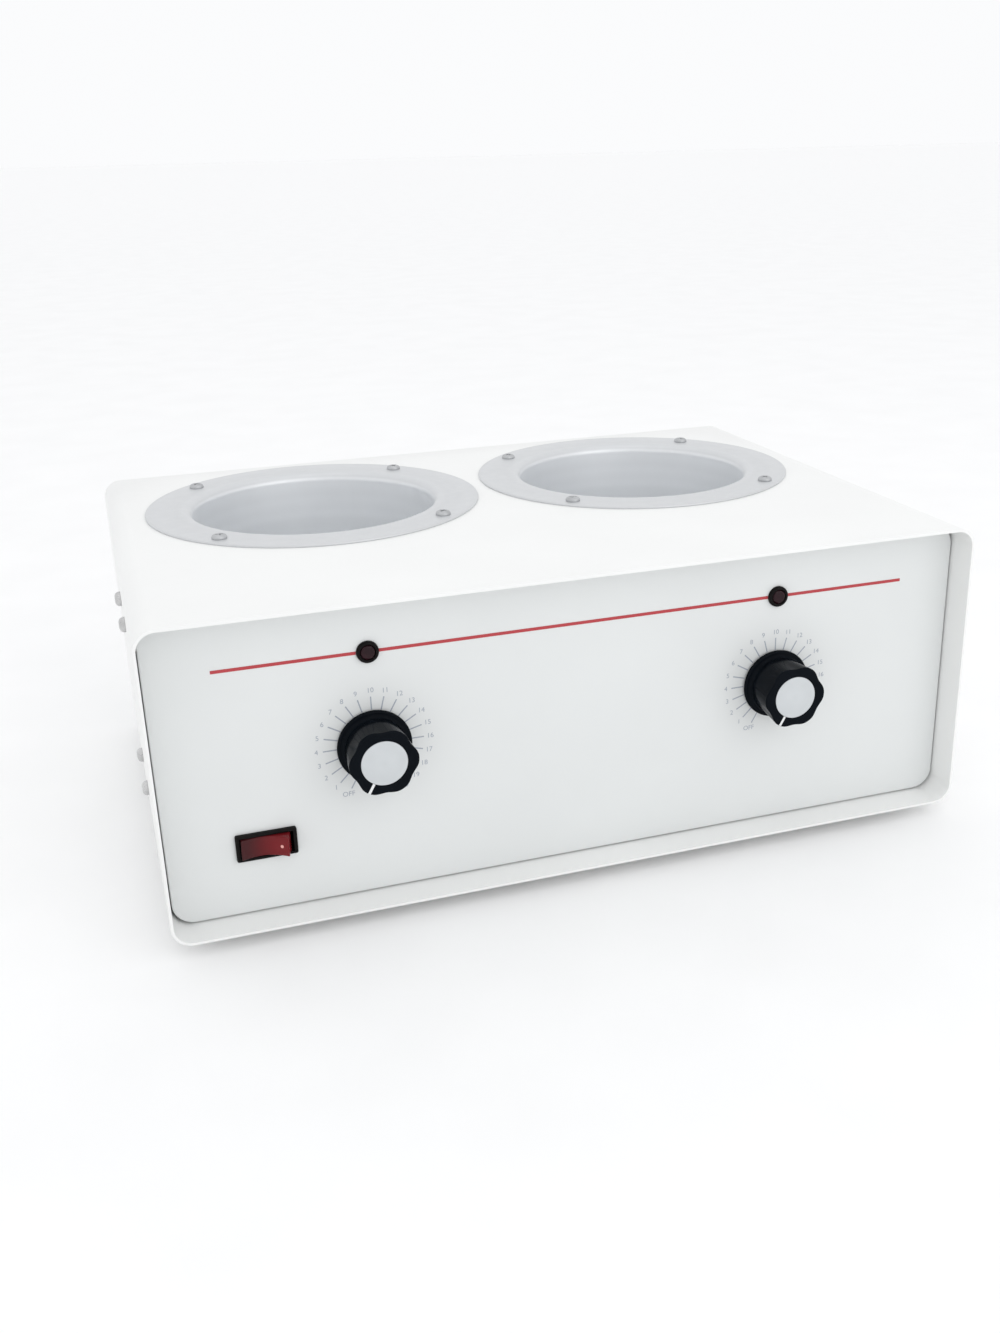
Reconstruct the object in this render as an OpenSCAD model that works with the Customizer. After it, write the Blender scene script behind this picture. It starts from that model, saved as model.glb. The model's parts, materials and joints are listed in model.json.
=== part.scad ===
// Double wax warmer: a sheet-metal case with two heated pots, two dials, two pilot lights and a
// rocker switch. Millimetres. +Z up, the front faces -Y, and Z = 0 is the surface it stands on.

/* [Case] */
// Width of the case over its side walls
case_w = 350; // [324:1:400]
// Depth of the case from its front edge to its rear edge
case_d = 247; // [226:1:290]
// Height of the case without its feet
case_h = 130.2; // [120:0.1:150]
// Thickness of the case sheet
case_t = 1.2; // [1:0.1:1.6]
// Outside radius of the case's four long corners
case_r = 8.5; // [6:0.5:12]
// How far the front panel sits back from the case's front edge
front_recess = 14.1; // [10:0.1:18]
// How far the rear panel sits forward of the case's rear edge
rear_recess = 14.1; // [10:0.1:16]

/* [Panels] */
// Thickness of the front and rear panels
panel_t = 1.2; // [1:0.1:1.6]
// Depth of the lip folded back round each panel, from its face
panel_lip = 10; // [8:0.5:14]
// Gap between the panels and the case, all round
panel_gap = 0.6; // [0.4:0.1:1.4]
// Corner radius of the panels
panel_r = 9; // [7:0.5:12]
// Width of the red stripe from end to end
stripe_w = 296.4; // [230:0.2:300]
// Height of the red stripe
stripe_h = 1.3; // [0.8:0.1:3]
// Thickness of the stripe's print
stripe_t = 0.12; // [0.1:0.02:0.3]

/* [Chassis plates] */
// Thickness of the plates
plate_t = 1; // [0.8:0.1:1.4]
// Height of the plates inside the side walls
plate_h = 96; // [92:1:104]
// Width of the tabs that carry the panels
tab_w = 17; // [15:0.5:24]
// Height between the upper and lower screws, in the side walls and in the tabs
side_screw_dz = 76; // [60:1:80]
// Distance between the front and rear screws of a side wall
side_screw_dy = 37; // [25:1:60]
// How far the middle of the side screws lies in front of the case's middle
side_screw_ahead = 12.5; // [0:0.5:30]
// Distance from a panel's edge to the screws in its tabs
tab_screw_inset = 10; // [9:0.5:11]

/* [Pots] */
// Diameter of the pots' flanges
flange_d = 156; // [152:0.5:161]
// Inside diameter of the pots' wells
well_d = 113.5; // [108:0.5:117]
// Depth of the wells below the top of the flange
well_depth = 85; // [70:1:87]
// Thickness of the pots' metal
pot_t = 1; // [0.8:0.1:1.5]
// Radius of the rounded mouth between flange and well
lip_r = 4; // [2:0.1:5]
// Inside radius round the bottom of the well
base_r = 6; // [4:0.5:10]
// Distance between the middles of the two pots
pot_spacing = 162.6; // [161.6:0.2:166]
// Radius of the ring of screws in each flange
pot_screw_ring = 70.7; // [70:0.1:74]
// Clearance between a pot and the hole in the case
pot_clear = 0.6; // [0.4:0.1:1]

/* [Heaters] */
// Thickness of the heater bands
band_t = 2.5; // [1.5:0.1:3]
// Height of the heater bands
band_h = 45; // [30:1:48]
// Height of the bands above the bottom of the pots
band_up = 14; // [10:1:18]
// Gap between the ears of a band
ear_gap = 8; // [6:0.5:10]
// How far the ears stand out from a band
ear_out = 11; // [9:0.5:12]
// Thickness of the insulation wraps
wrap_t = 5; // [3:0.5:5]
// Gap between the insulation wraps and the rear panel
wrap_gap = 6.5; // [1.5:0.1:9]
// How far the wraps reach past the bands, above and below
wrap_past = 4; // [2:0.5:5]
// Width of the opening in the wraps for the ears
wrap_open = 34; // [26:1:40]

/* [Dials] */
// Distance of the dials and pilot lights from the middle of the case
dial_x = 88.5; // [80:0.5:92]
// Height of the dials above the underside of the case
dial_up = 66.8; // [60:0.2:70]
// Diameter of the knobs' skirts
skirt_d = 30.2; // [28:0.2:33]
// Diameter of the knobs over the lobes of the grip
grip_d = 27.8; // [26:0.2:28.2]
// Diameter of the knobs' bodies where they meet the skirts
waist_d = 24.4; // [22:0.2:25]
// Distance from the front panel to the front of the knobs
knob_h = 19.4; // [18.6:0.2:21]
// Gap between the front panel and the back of the knobs
knob_gap = 1; // [0.6:0.1:1.2]
// Number of lobes round the grip
lobes = 6; // [5:1:8]
// Radius of the hollows between the lobes
flute_r = 9; // [7:0.5:11]
// How deep the hollows cut into the grip
flute_depth = 1.2; // [0.7:0.1:1.5]
// Diameter of the silver disc on the front of a knob
cap_d = 18.4; // [16:0.2:19]
// Width of the white pointer line
pointer_w = 1.2; // [0.8:0.1:2]
// Angle of the pointer at 0, from straight up, against the clock
zero_angle = 150; // [135:1:160]
// Diameter of the control shafts
shaft_d = 6.35; // [6:0.05:6.4]
// Radial clearance of a shaft in its bushing
shaft_clear = 0.06; // [0.03:0.01:0.09]
// Outside diameter of the control bushings
bushing_d = 9.5; // [9:0.1:10]
// How far the bushings stand out of the front panel
bushing_out = 6; // [5:0.1:6.4]
// Diameter of the controls behind the panel
control_d = 24; // [20:0.5:28]
// Depth of the controls behind the panel
control_h = 12; // [10:0.5:16]

/* [Pilot lights] */
// Height of the pilot lights and the stripe above the underside of the case
light_up = 106; // [100:0.5:107]
// Diameter of the lights' bezels
bezel_d = 9; // [8.8:0.1:11]
// Diameter of the lights' bodies
light_body_d = 7.8; // [7.4:0.1:8]
// Diameter of the lights' lenses
lens_d = 6; // [5.6:0.1:6.4]
// Length of the lights' bodies behind the front of the panel
light_body_l = 15; // [12:0.5:20]

/* [Switch] */
// Distance of the switch's middle from the side of the case
switch_inset = 40.8; // [39:0.2:47]
// Height of the switch above the underside of the case
switch_up = 31.3; // [28:0.1:36]
// Width of the switch frame
switch_w = 24.2; // [24:0.1:26]
// Height of the switch frame
switch_h = 11.5; // [11.3:0.1:13]
// How far the frame stands out of the panel
switch_out = 1.8; // [1.4:0.1:2.2]
// Depth of the switch behind the face of the panel
switch_depth = 17; // [15:0.5:20]
// Radius that the rocker's ends turn on
rocker_r = 10.3; // [10:0.05:10.4]
// Height of the rocker
rocker_h = 8.4; // [8:0.1:8.5]
// Angle of the rocker from its middle place to either side
rocker_tilt = 10; // [8:0.5:11]
// Diameter of the rocker's pivot pins
pivot_d = 2.4; // [2:0.1:2.8]
// Radial clearance of the pivot pins
pivot_clear = 0.05; // [0.03:0.01:0.09]

/* [Inlet] */
// Distance of the power inlet's middle from the side of the case
inlet_inset = 65; // [51:1:115]
// Gap between the bottoms of the pots and the top of the inlet's body
inlet_gap = 3.3; // [2:0.1:8]
// Width of the inlet's mouth
mouth_w = 24.5; // [24.3:0.1:24.8]
// Height of the inlet's mouth
mouth_h = 16.8; // [16.6:0.1:17]
// Depth of the inlet's mouth
mouth_depth = 17; // [16.5:0.5:18]
// Width of the inlet's flange
inlet_flange_w = 50; // [48:0.5:52]
// Height of the inlet's flange
inlet_flange_h = 22.6; // [22:0.1:26]
// Distance between the inlet's two screws
inlet_screw_dx = 40; // [38:0.5:42]

/* [Feet] */
// Height of the rubber feet
foot_h = 6; // [5.4:0.2:8]
// Diameter of the feet
foot_d = 18; // [16:0.5:22]
// Distance of the feet from the sides, the front and the rear of the case
foot_inset = 32; // [28:1:40]

/* [Board] */
// Length of the control board from side to side
board_w = 118; // [116:1:130]
// Depth of the control board
board_d = 66; // [64:1:70]
// Distance from the front panel to the board
board_back = 22; // [20:1:30]
// Height of the standoffs under the board
standoff_h = 8; // [6:0.5:10]
// Thickness of the board
board_t = 1.6; // [1.2:0.1:2]

/* [Screws] */
// Diameter of the screws in the case, the pots and the panels
screw_d = 3.5; // [3:0.1:3.8]
// Head diameter of the screws in the case and the panels
head_d = 6.6; // [5.6:0.1:7]
// Head height of the screws in the case and the panels
head_h = 2.6; // [2:0.1:2.8]
// Head diameter of the screws in the pots' flanges
pot_head_d = 6.8; // [6:0.1:7.4]
// Head height of the screws in the pots' flanges
pot_head_h = 1.8; // [1.4:0.1:2.4]
// Radial clearance of a screw in the sheet that it is screwed into
thread_clear = 0.05; // [0.03:0.01:0.1]
// Radial clearance of a screw in the sheet that it only passes
pass_clear = 0.25; // [0.2:0.05:0.4]

/* [Hidden] */
$fn = 48;
// Radial clearance of a stud, bushing or lamp in the hole that it passes
snug = 0.15;
// How far a screw reaches past the piece it holds in
screw_past = 3;

// Places along Y, so that the middle of the whole depth, knobs included, is at Y = 0
knob_proud = knob_h - front_recess;
front_y = knob_proud - (case_d + knob_proud) / 2;
rear_y = front_y + case_d;
mid_y = (front_y + rear_y) / 2;
front_face_y = front_y + front_recess;
rear_face_y = rear_y - rear_recess;
front_back_y = front_face_y + panel_t;
front_tab_y = front_face_y + panel_lip;
rear_tab_y = rear_face_y - panel_lip;

// Heights
under_z = foot_h;
floor_z = under_z + case_t;
top_z = under_z + case_h;
mid_z = under_z + case_h / 2;
dial_z = under_z + dial_up;
light_z = under_z + light_up;
switch_z = under_z + switch_up;

// Panels and chassis plates
inner_w = case_w - 2 * case_t;
inner_h = case_h - 2 * case_t;
panel_w = inner_w - 2 * panel_gap;
panel_h = inner_h - 2 * panel_gap;
tab_screw_x = panel_w / 2 - tab_screw_inset;
side_screw_y = mid_y - side_screw_ahead;
stud_d = 4;
stud_past = 1.5;
tab_nut_h = 3.2;
nut_af_4 = 7;

// Pots
well_r = well_d / 2;
pot_r = well_r + pot_t;
pot_top_z = top_z + pot_t;
pot_base_z = pot_top_z - well_depth - pot_t;
case_hole_r = well_r + lip_r + pot_clear;
pot_screw_l = 9;

// Heater bands and wraps
band_fit = 0.1;
band_in_r = pot_r + band_fit;
band_r = band_in_r + band_t;
band_z = pot_base_z + band_up;
wrap_in_r = band_r + 0.3;
wrap_r = wrap_in_r + wrap_t;
pot_y = rear_face_y - panel_t - wrap_gap - wrap_r;
ear_t = 2;
ear_h = 20;
ear_z = band_z + (band_h - ear_h) / 2;
ear_screw_x = band_r + ear_out / 2 + 1;
band_screw_d = 4;
post_angle = 30;
band_post_d = 5;
band_post_l = 4.5;

// Cut-outs and sensors under the pots
cutout_d = 17;
cutout_h = 8;
cutout_flange_d = 24;
cutout_flange_t = 1;
cutout_blade = [6.3, 0.8, 9];
cutout_blade_x = 4.5;
sensor_r = 32;
sensor_lug_d = 11;
sensor_lug_t = 1;
sensor_d = 6;
sensor_l = 12;

// Knobs, measured out from the face of the front panel
grip_r = grip_d / 2;
skirt_r = skirt_d / 2;
waist_r = waist_d / 2;
valley_r = grip_r - flute_depth;
skirt_t = 1.8;
skirt_z = knob_gap + skirt_t;
skirt_edge = 0.5;
skirt_round = 0.8;
hollow_r = skirt_r - skirt_round - waist_r - 0.3;
flute_z = 7;
rim_round = 0.8;
shaft_room = 0.3;
bushing_room = 0.6;
cap_recess = 0.6;
cap_t = 0.5;
cap_fit = 0.15;
pointer_t = 0.5;
inlay_fit = 0.03;
shaft_r = shaft_d / 2;
shaft_hold = 0.03;
flat_x = shaft_r * 0.75;
shaft_end_z = knob_h - 3;
bushing_r = bushing_d / 2;
nut_room_r = 8.6;
nut_room_z = 4.6;
set_screw_d = 3;
set_screw_z = 11.8;
set_screw_l = 5;
socket_d = 1.7;
control_nut_af = 12.7;
control_nut_h = 2.2;
control_tail = 3;
lug = [2.4, 0.8, 7];
lug_in = 3;
lug_pitch = 5;

// Pilot lights
light_dome = 1.7;
bezel_round = 1.1;
lens_edge = 0.5;
lens_crown = 0.7;
light_nut_d = 12;
light_nut_h = 3;
lens_fit = 0.1;
lens_seat = 6;
lamp_pin_d = 1;
lamp_pin_l = 6;
lamp_pin_x = 1.3;

// Switch
switch_x = case_w / 2 - switch_inset;
switch_body_w = 22.7;
switch_body_h = 10.4;
rocker_gap = 0.3;
switch_room_w = 2 * (rocker_r + rocker_gap);
switch_room_h = rocker_h + 2 * rocker_gap;
switch_room_depth = 9;
switch_hole_gap = 0.1;
pivot_in = 1.5;
rocker_side = rocker_r - 0.7;
rocker_end = 5.2;
rocker_dip = 2;
rocker_edge = 0.4;
rocker_foot = 4;
blade = [0.8, 6.3, 8];
blade_pitch = 7;

// Inlet
inlet_flange_t = 3;
inlet_body_w = mouth_w + 3;
inlet_body_h = mouth_h + 3;
inlet_x = case_w / 2 - inlet_inset;
inlet_z = pot_base_z - inlet_gap - inlet_body_h / 2;
inlet_wall = 2.5;
inlet_hole_gap = 0.3;
mouth_cut = 4.5;
pin = [2, 4, 15.5];
pin_dx = 7;
pin_fit = 0.05;
earth_pin_up = 2.4;
line_pin_down = 2.2;
inlet_tail = 8;

// Board and what stands on it
board_y = front_face_y + board_back;
board_z = floor_z + standoff_h;
board_top_z = board_z + board_t;
board_screw_inset = 5;
board_screw_d = 3;
board_head_d = 5.5;
board_head_h = 2;
standoff_d = 6;
standoff_floor = 1.5;
transformer = [38, 32, 27];
transformer_x = -34;
coil_up = 5;
coil_inset = 4;
relay = [12, 28, 15];
relay_x = [8, 24];
capacitor_d = 12;
capacitor_h = 18;
capacitor_x = -8;
capacitor_gap = 3;
sink = [4, 32, 24];
sink_x = 44;
sink_fin = [8, 2, 24];
sink_fins = 5;
block = [108, 9, 13];
block_y = board_y + board_d - 18;
block_ways = 20;
way_depth = 3;
way_rise = 17;
part_y = board_y + 10;

// Leads
lead_d = 2.2;
thin_lead_d = 1.6;
lead_sides = 8;
lead_bend = 6;
lead_low_z = floor_z + 4.4;
lead_high_z = board_top_z + block[2] - way_depth + way_rise;
behind_board_y = board_y + board_d + 6;
post_lead = 7;

// Earth stud
stud_x = -inlet_x;
stud_y = rear_tab_y - 40;
stud_head_d = 7;
stud_head_h = 0.6;
ring_d = 9;
ring_t = 1;
barrel_l = 9;
barrel_d = 3.4;
barrel_up = barrel_d / 2;

// Feet
foot_x = case_w / 2 - foot_inset;
foot_y = case_d / 2 - foot_inset;
foot_screw_d = 4;
foot_head_d = 7.4;
foot_head_h = 2.6;
foot_seat = 2.4;

// Vents in the bottom of the case
vent_w = 3;
vent_l = 34;
vent_pitch = 9;
vent_count = 7;

// A rectangle with round corners, about its middle
module rounded_rect(w, h, r) {
    square([w - 2 * r, h], center = true);
    square([w, h - 2 * r], center = true);
    for (sx = [-1, 1], sy = [-1, 1])
        translate([sx * (w / 2 - r), sy * (h / 2 - r)]) circle(r);
}

// Children drawn in X and Z, given a length along Y from y
module along_y(y, len) {
    translate([0, y + len, 0]) rotate([90, 0, 0]) linear_extrude(len) children();
}

// Children placed on the front panel's face: x right, y up, z towards the front
module on_front(x, z) {
    translate([x, front_face_y, z]) rotate([90, 0, 0]) children();
}

// Children placed on the rear panel's face: x to the viewer's right, y up, z towards the rear
module on_rear(x, z) {
    translate([x, rear_face_y, z]) rotate([90, 0, 180]) children();
}

// A screw with a pan head: the head above z = 0, the shank below
module pan_screw(d, len, hd, hh) {
    crown = [for (a = [0:15:90]) [hd / 2 - hh * 0.6 + hh * 0.6 * cos(a), hh * 0.4 + hh * 0.6 * sin(a)]];
    rotate_extrude() polygon(concat([[0, -len], [d / 2, -len], [d / 2, 0], [hd / 2, 0]], crown, [[0, hh]]));
}

// A pan screw with a cross in its head
module cross_screw(d, len, hd, hh) {
    slot_l = hd * 0.62;
    slot_w = hd * 0.16;
    difference() {
        pan_screw(d, len, hd, hh);
        for (a = [0, 90])
            rotate(a) translate([-slot_l / 2, -slot_w / 2, hh * 0.45]) cube([slot_l, slot_w, hh]);
    }
}

// A hexagon nut standing on z = 0
module hex_nut(af, h, hole_d) {
    difference() {
        cylinder(h = h, d = af / cos(30), $fn = 6);
        translate([0, 0, -1]) cylinder(h = h + 2, d = hole_d);
    }
}

function unit(v) = v / norm(v);

// A route with each inner corner rounded off, from reach before it to reach after it
function rounded_route(p, reach) = [
    p[0],
    for (i = [1:len(p) - 2])
        let (a = unit(p[i - 1] - p[i]) * min(reach, norm(p[i - 1] - p[i]) / 2.2),
             b = unit(p[i + 1] - p[i]) * min(reach, norm(p[i + 1] - p[i]) / 2.2))
            for (t = [0, 0.35, 0.65, 1]) p[i] + a * (1 - t) * (1 - t) + b * t * t,
    p[len(p) - 1]
];

// The direction of a route at each of its points
function tangents(p) = [
    for (i = [0:len(p) - 1]) unit(p[min(i + 1, len(p) - 1)] - p[max(i - 1, 0)])
];

// A normal at each point, turned no more than the route turns
function normals(t) = [
    for (i = 0, n = unit(cross(t[0], abs(t[0][2]) < 0.9 ? [0, 0, 1] : [1, 0, 0]));
         i < len(t);
         i = i + 1, n = i < len(t) ? unit(n - (n * t[i]) * t[i]) : n) n
];

// A lead along its route
module lead(route, d) {
    k = lead_sides;
    p = rounded_route(route, lead_bend);
    t = tangents(p);
    n = normals(t);
    m = len(p);
    points = [
        for (i = [0:m - 1], j = [0:k - 1])
            p[i] + d / 2 * (cos(360 * j / k) * n[i] + sin(360 * j / k) * cross(t[i], n[i]))
    ];
    walls = [
        for (i = [0:m - 2], j = [0:k - 1])
            let (a = i * k + j, b = i * k + (j + 1) % k)
                each [[a, a + k, b + k], [a, b + k, b]]
    ];
    polyhedron(points, concat([[for (j = [0:k - 1]) j]], walls, [[for (j = [k - 1:-1:0]) (m - 1) * k + j]]));
}

module at_pots() {
    for (side = [-1, 1]) translate([side * pot_spacing / 2, pot_y, 0]) children();
}

module at_pot_screws() {
    for (a = [45:90:315]) rotate(a) translate([pot_screw_ring, 0, 0]) children();
}

// Case

module case_sleeve() {
    color("white") difference() {
        along_y(front_y, case_d) translate([0, mid_z]) difference() {
            rounded_rect(case_w, case_h, case_r);
            rounded_rect(inner_w, inner_h, case_r - case_t);
        }
        at_pots() {
            translate([0, 0, top_z - 2 * case_t]) cylinder(h = 4 * case_t, r = case_hole_r, $fn = 96);
            at_pot_screws() translate([0, 0, top_z - 2 * case_t])
                cylinder(h = 4 * case_t, r = screw_d / 2 + thread_clear);
        }
        for (side = [-1, 1], dy = [-1, 1], dz = [-1, 1])
            translate([side * (case_w / 2 - case_t / 2), side_screw_y + dy * side_screw_dy / 2,
                       mid_z + dz * side_screw_dz / 2])
                rotate([0, 90, 0]) cylinder(h = 3 * case_t, r = screw_d / 2 + pass_clear, center = true);
        for (sx = [-1, 1], sy = [-1, 1])
            translate([sx * foot_x, mid_y + sy * foot_y, under_z - case_t])
                cylinder(h = 3 * case_t, r = foot_screw_d / 2 + thread_clear);
        at_pots() for (i = [0:vent_count - 1])
            translate([(i - (vent_count - 1) / 2) * vent_pitch, 0, under_z - case_t]) {
                translate([-vent_w / 2, -vent_l / 2, 0]) cube([vent_w, vent_l, 3 * case_t]);
                for (e = [-1, 1]) translate([0, e * vent_l / 2, 0]) cylinder(h = 3 * case_t, d = vent_w);
            }
        translate([stud_x, stud_y, under_z - case_t]) cylinder(h = 3 * case_t, r = stud_d / 2 + thread_clear);
    }
}

// A panel with its lip: flat at face_y, the lip towards back (1 is +Y, -1 is -Y)
module panel_shell(face_y, back) {
    low = back > 0 ? face_y : face_y - panel_t;
    lip_low = back > 0 ? face_y : face_y - panel_lip;
    translate([0, 0, mid_z]) {
        along_y(low, panel_t) rounded_rect(panel_w, panel_h, panel_r);
        along_y(lip_low, panel_lip) difference() {
            rounded_rect(panel_w, panel_h, panel_r);
            rounded_rect(panel_w - 2 * panel_t, panel_h - 2 * panel_t, panel_r - panel_t);
        }
    }
}

module front_panel() {
    color("whitesmoke") {
        difference() {
            panel_shell(front_face_y, 1);
            for (side = [-1, 1]) {
                on_front(side * dial_x, dial_z) translate([0, 0, -2 * panel_t])
                    cylinder(h = 4 * panel_t, r = bushing_r + snug);
                on_front(side * dial_x, light_z) translate([0, 0, -2 * panel_t])
                    cylinder(h = 4 * panel_t, r = light_body_d / 2 + snug);
            }
            on_front(-switch_x, switch_z) translate([0, 0, -2 * panel_t])
                linear_extrude(4 * panel_t)
                    square([switch_body_w + 2 * switch_hole_gap, switch_body_h + 2 * switch_hole_gap],
                           center = true);
        }
        for (sx = [-1, 1], sz = [-1, 1])
            translate([sx * tab_screw_x, front_back_y, mid_z + sz * side_screw_dz / 2]) rotate([-90, 0, 0])
                cylinder(h = panel_lip - panel_t + plate_t + tab_nut_h + stud_past, d = stud_d);
    }
}

module rear_panel() {
    color("whitesmoke") difference() {
        panel_shell(rear_face_y, -1);
        for (sx = [-1, 1], sz = [-1, 1])
            on_rear(sx * tab_screw_x, mid_z + sz * side_screw_dz / 2)
                translate([0, 0, -2 * panel_t]) cylinder(h = 4 * panel_t, r = screw_d / 2 + pass_clear);
        on_rear(-inlet_x, inlet_z) {
            translate([0, 0, -2 * panel_t]) linear_extrude(4 * panel_t)
                square([inlet_body_w + 2 * inlet_hole_gap, inlet_body_h + 2 * inlet_hole_gap], center = true);
            for (sx = [-1, 1]) translate([sx * inlet_screw_dx / 2, 0, -2 * panel_t])
                cylinder(h = 4 * panel_t, d = board_screw_d + 2 * thread_clear);
        }
    }
}

module chassis_plate(side) {
    plate_y = front_tab_y;
    plate_l = rear_tab_y - front_tab_y;
    x_out = side * inner_w / 2;
    x_in = x_out - side * plate_t;
    tab_low_x = side > 0 ? x_out - tab_w : x_out;
    color("lightgray") difference() {
        union() {
            translate([min(x_out, x_in), plate_y, mid_z - plate_h / 2]) cube([plate_t, plate_l, plate_h]);
            for (y = [front_tab_y, rear_tab_y - plate_t])
                translate([tab_low_x, y, mid_z - plate_h / 2]) cube([tab_w, plate_t, plate_h]);
        }
        for (dy = [-1, 1], dz = [-1, 1])
            translate([x_out, side_screw_y + dy * side_screw_dy / 2, mid_z + dz * side_screw_dz / 2])
                rotate([0, 90, 0]) cylinder(h = 4 * plate_t, r = screw_d / 2 + thread_clear, center = true);
        for (sz = [-1, 1]) {
            translate([side * tab_screw_x, front_tab_y - plate_t, mid_z + sz * side_screw_dz / 2])
                rotate([-90, 0, 0]) cylinder(h = 3 * plate_t, r = stud_d / 2 + snug);
            translate([side * tab_screw_x, rear_tab_y - 2 * plate_t, mid_z + sz * side_screw_dz / 2])
                rotate([-90, 0, 0]) cylinder(h = 3 * plate_t, r = screw_d / 2 + thread_clear);
        }
    }
}

module left_chassis_plate() {
    chassis_plate(-1);
}

module right_chassis_plate() {
    chassis_plate(1);
}

module side_screws() {
    color("gainsboro")
        for (side = [-1, 1], dy = [-1, 1], dz = [-1, 1])
            translate([side * case_w / 2, side_screw_y + dy * side_screw_dy / 2,
                       mid_z + dz * side_screw_dz / 2])
                rotate([0, side * 90, 0]) cross_screw(screw_d, case_t + plate_t + screw_past, head_d, head_h);
}

module front_panel_nuts() {
    color("silver")
        for (sx = [-1, 1], sz = [-1, 1])
            translate([sx * tab_screw_x, front_tab_y + plate_t, mid_z + sz * side_screw_dz / 2])
                rotate([-90, 0, 0]) hex_nut(nut_af_4, tab_nut_h, stud_d + 2 * thread_clear);
}

module rear_panel_screws() {
    color("silver")
        for (sx = [-1, 1], sz = [-1, 1])
            on_rear(sx * tab_screw_x, mid_z + sz * side_screw_dz / 2)
                cross_screw(screw_d, panel_lip + plate_t + screw_past, head_d, head_h);
}

// The stripe passes behind the pilot lights' bezels
module red_stripe() {
    color("firebrick") difference() {
        on_front(0, light_z) translate([-stripe_w / 2, -stripe_h / 2, 0]) cube([stripe_w, stripe_h, stripe_t]);
        for (side = [-1, 1]) on_front(side * dial_x, light_z) translate([0, 0, -1])
            cylinder(h = 3, r = bezel_d / 2 + 0.1);
    }
}

// Pots

// Points of an arc about c from angle a to angle b
function arc(c, r, a, b, n = 8) = [
    for (i = [0:n]) c + r * [cos(a + (b - a) * i / n), sin(a + (b - a) * i / n)]
];

module pot() {
    lip_c = [well_r + lip_r, pot_top_z - lip_r];
    base_c = [well_r - base_r, pot_base_z + pot_t + base_r];
    edge = 0.4;
    outline = concat(
        [[0, pot_base_z]],
        arc(base_c, base_r + pot_t, 270, 360),
        arc(lip_c, lip_r - pot_t, 180, 90),
        [[flange_d / 2 - edge, top_z], [flange_d / 2, top_z + edge]],
        [[flange_d / 2, pot_top_z - edge], [flange_d / 2 - edge, pot_top_z]],
        arc(lip_c, lip_r, 90, 180),
        arc(base_c, base_r, 360, 270),
        [[0, pot_base_z + pot_t]]
    );
    color("silver") difference() {
        rotate_extrude($fn = 96) polygon(outline);
        at_pot_screws() translate([0, 0, top_z - 1]) cylinder(h = pot_t + 2, r = screw_d / 2 + pass_clear);
    }
}

module at_pot(side) {
    translate([side * pot_spacing / 2, pot_y, 0]) children();
}

module left_pot() {
    at_pot(-1) pot();
}

module right_pot() {
    at_pot(1) pot();
}

module pot_screws() {
    color("dimgray") at_pots() at_pot_screws()
        translate([0, 0, pot_top_z]) cross_screw(screw_d, pot_screw_l, pot_head_d, pot_head_h);
}

// A heater band, open at the front, where its two ears are drawn together
module heater_band() {
    color("tan") difference() {
        union() {
            translate([0, 0, band_z]) cylinder(h = band_h, r = band_r, $fn = 96);
            for (s = [-1, 1]) {
                translate([s > 0 ? ear_gap / 2 : -ear_gap / 2 - ear_t, -band_r - ear_out, ear_z])
                    cube([ear_t, ear_out + band_t, ear_h]);
                rotate(s * post_angle) translate([0, -band_r + 0.5, band_z + band_h / 2]) rotate([90, 0, 0])
                    cylinder(h = band_post_l + 0.5, d = band_post_d);
            }
        }
        translate([0, 0, band_z - 1]) cylinder(h = band_h + 2, r = band_in_r, $fn = 96);
        translate([-ear_gap / 2, -band_r - ear_out - 1, band_z - 1])
            cube([ear_gap, ear_out + band_t + 4, band_h + 2]);
        translate([0, -ear_screw_x, ear_z + ear_h / 2]) rotate([0, 90, 0])
            cylinder(h = ear_gap + 2 * ear_t + 2, r = band_screw_d / 2 + snug, center = true);
    }
}

module left_heater_band() {
    at_pot(-1) heater_band();
}

module right_heater_band() {
    at_pot(1) heater_band();
}

module band_screws() {
    color("silver") at_pots() translate([0, -ear_screw_x, ear_z + ear_h / 2]) {
        translate([ear_gap / 2 + ear_t, 0, 0]) rotate([0, 90, 0])
            pan_screw(band_screw_d, ear_gap + 2 * ear_t + tab_nut_h + stud_past, foot_head_d, foot_head_h);
        translate([-ear_gap / 2 - ear_t, 0, 0]) rotate([0, -90, 0])
            hex_nut(nut_af_4, tab_nut_h, band_screw_d + 2 * thread_clear);
    }
}

module insulation() {
    z = band_z - wrap_past;
    h = band_h + 2 * wrap_past;
    color("khaki") difference() {
        translate([0, 0, z]) cylinder(h = h, r = wrap_r, $fn = 96);
        translate([0, 0, z - 1]) cylinder(h = h + 2, r = wrap_in_r, $fn = 96);
        translate([-wrap_open / 2, -wrap_r - 1, z - 1]) cube([wrap_open, wrap_r, h + 2]);
        for (s = [-1, 1]) rotate(s * post_angle) translate([0, -wrap_r - 1, band_z + band_h / 2])
            rotate([-90, 0, 0]) cylinder(h = wrap_t + 3, d = band_post_d + 3);
    }
}

module left_insulation() {
    at_pot(-1) insulation();
}

module right_insulation() {
    at_pot(1) insulation();
}

// A snap-disc cut-out under the middle of a pot, with its two blades pointing down
module cutout() {
    color("saddlebrown") {
        translate([0, 0, pot_base_z - cutout_flange_t]) cylinder(h = cutout_flange_t, d = cutout_flange_d);
        translate([0, 0, pot_base_z - cutout_h]) cylinder(h = cutout_h, d = cutout_d);
        for (s = [-1, 1])
            translate([s * cutout_blade_x - cutout_blade[0] / 2, -cutout_blade[1] / 2,
                       pot_base_z - cutout_h - cutout_blade[2]])
                cube([cutout_blade[0], cutout_blade[1], cutout_blade[2] + 1]);
    }
}

module left_cutout() {
    at_pot(-1) cutout();
}

module right_cutout() {
    at_pot(1) cutout();
}

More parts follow.
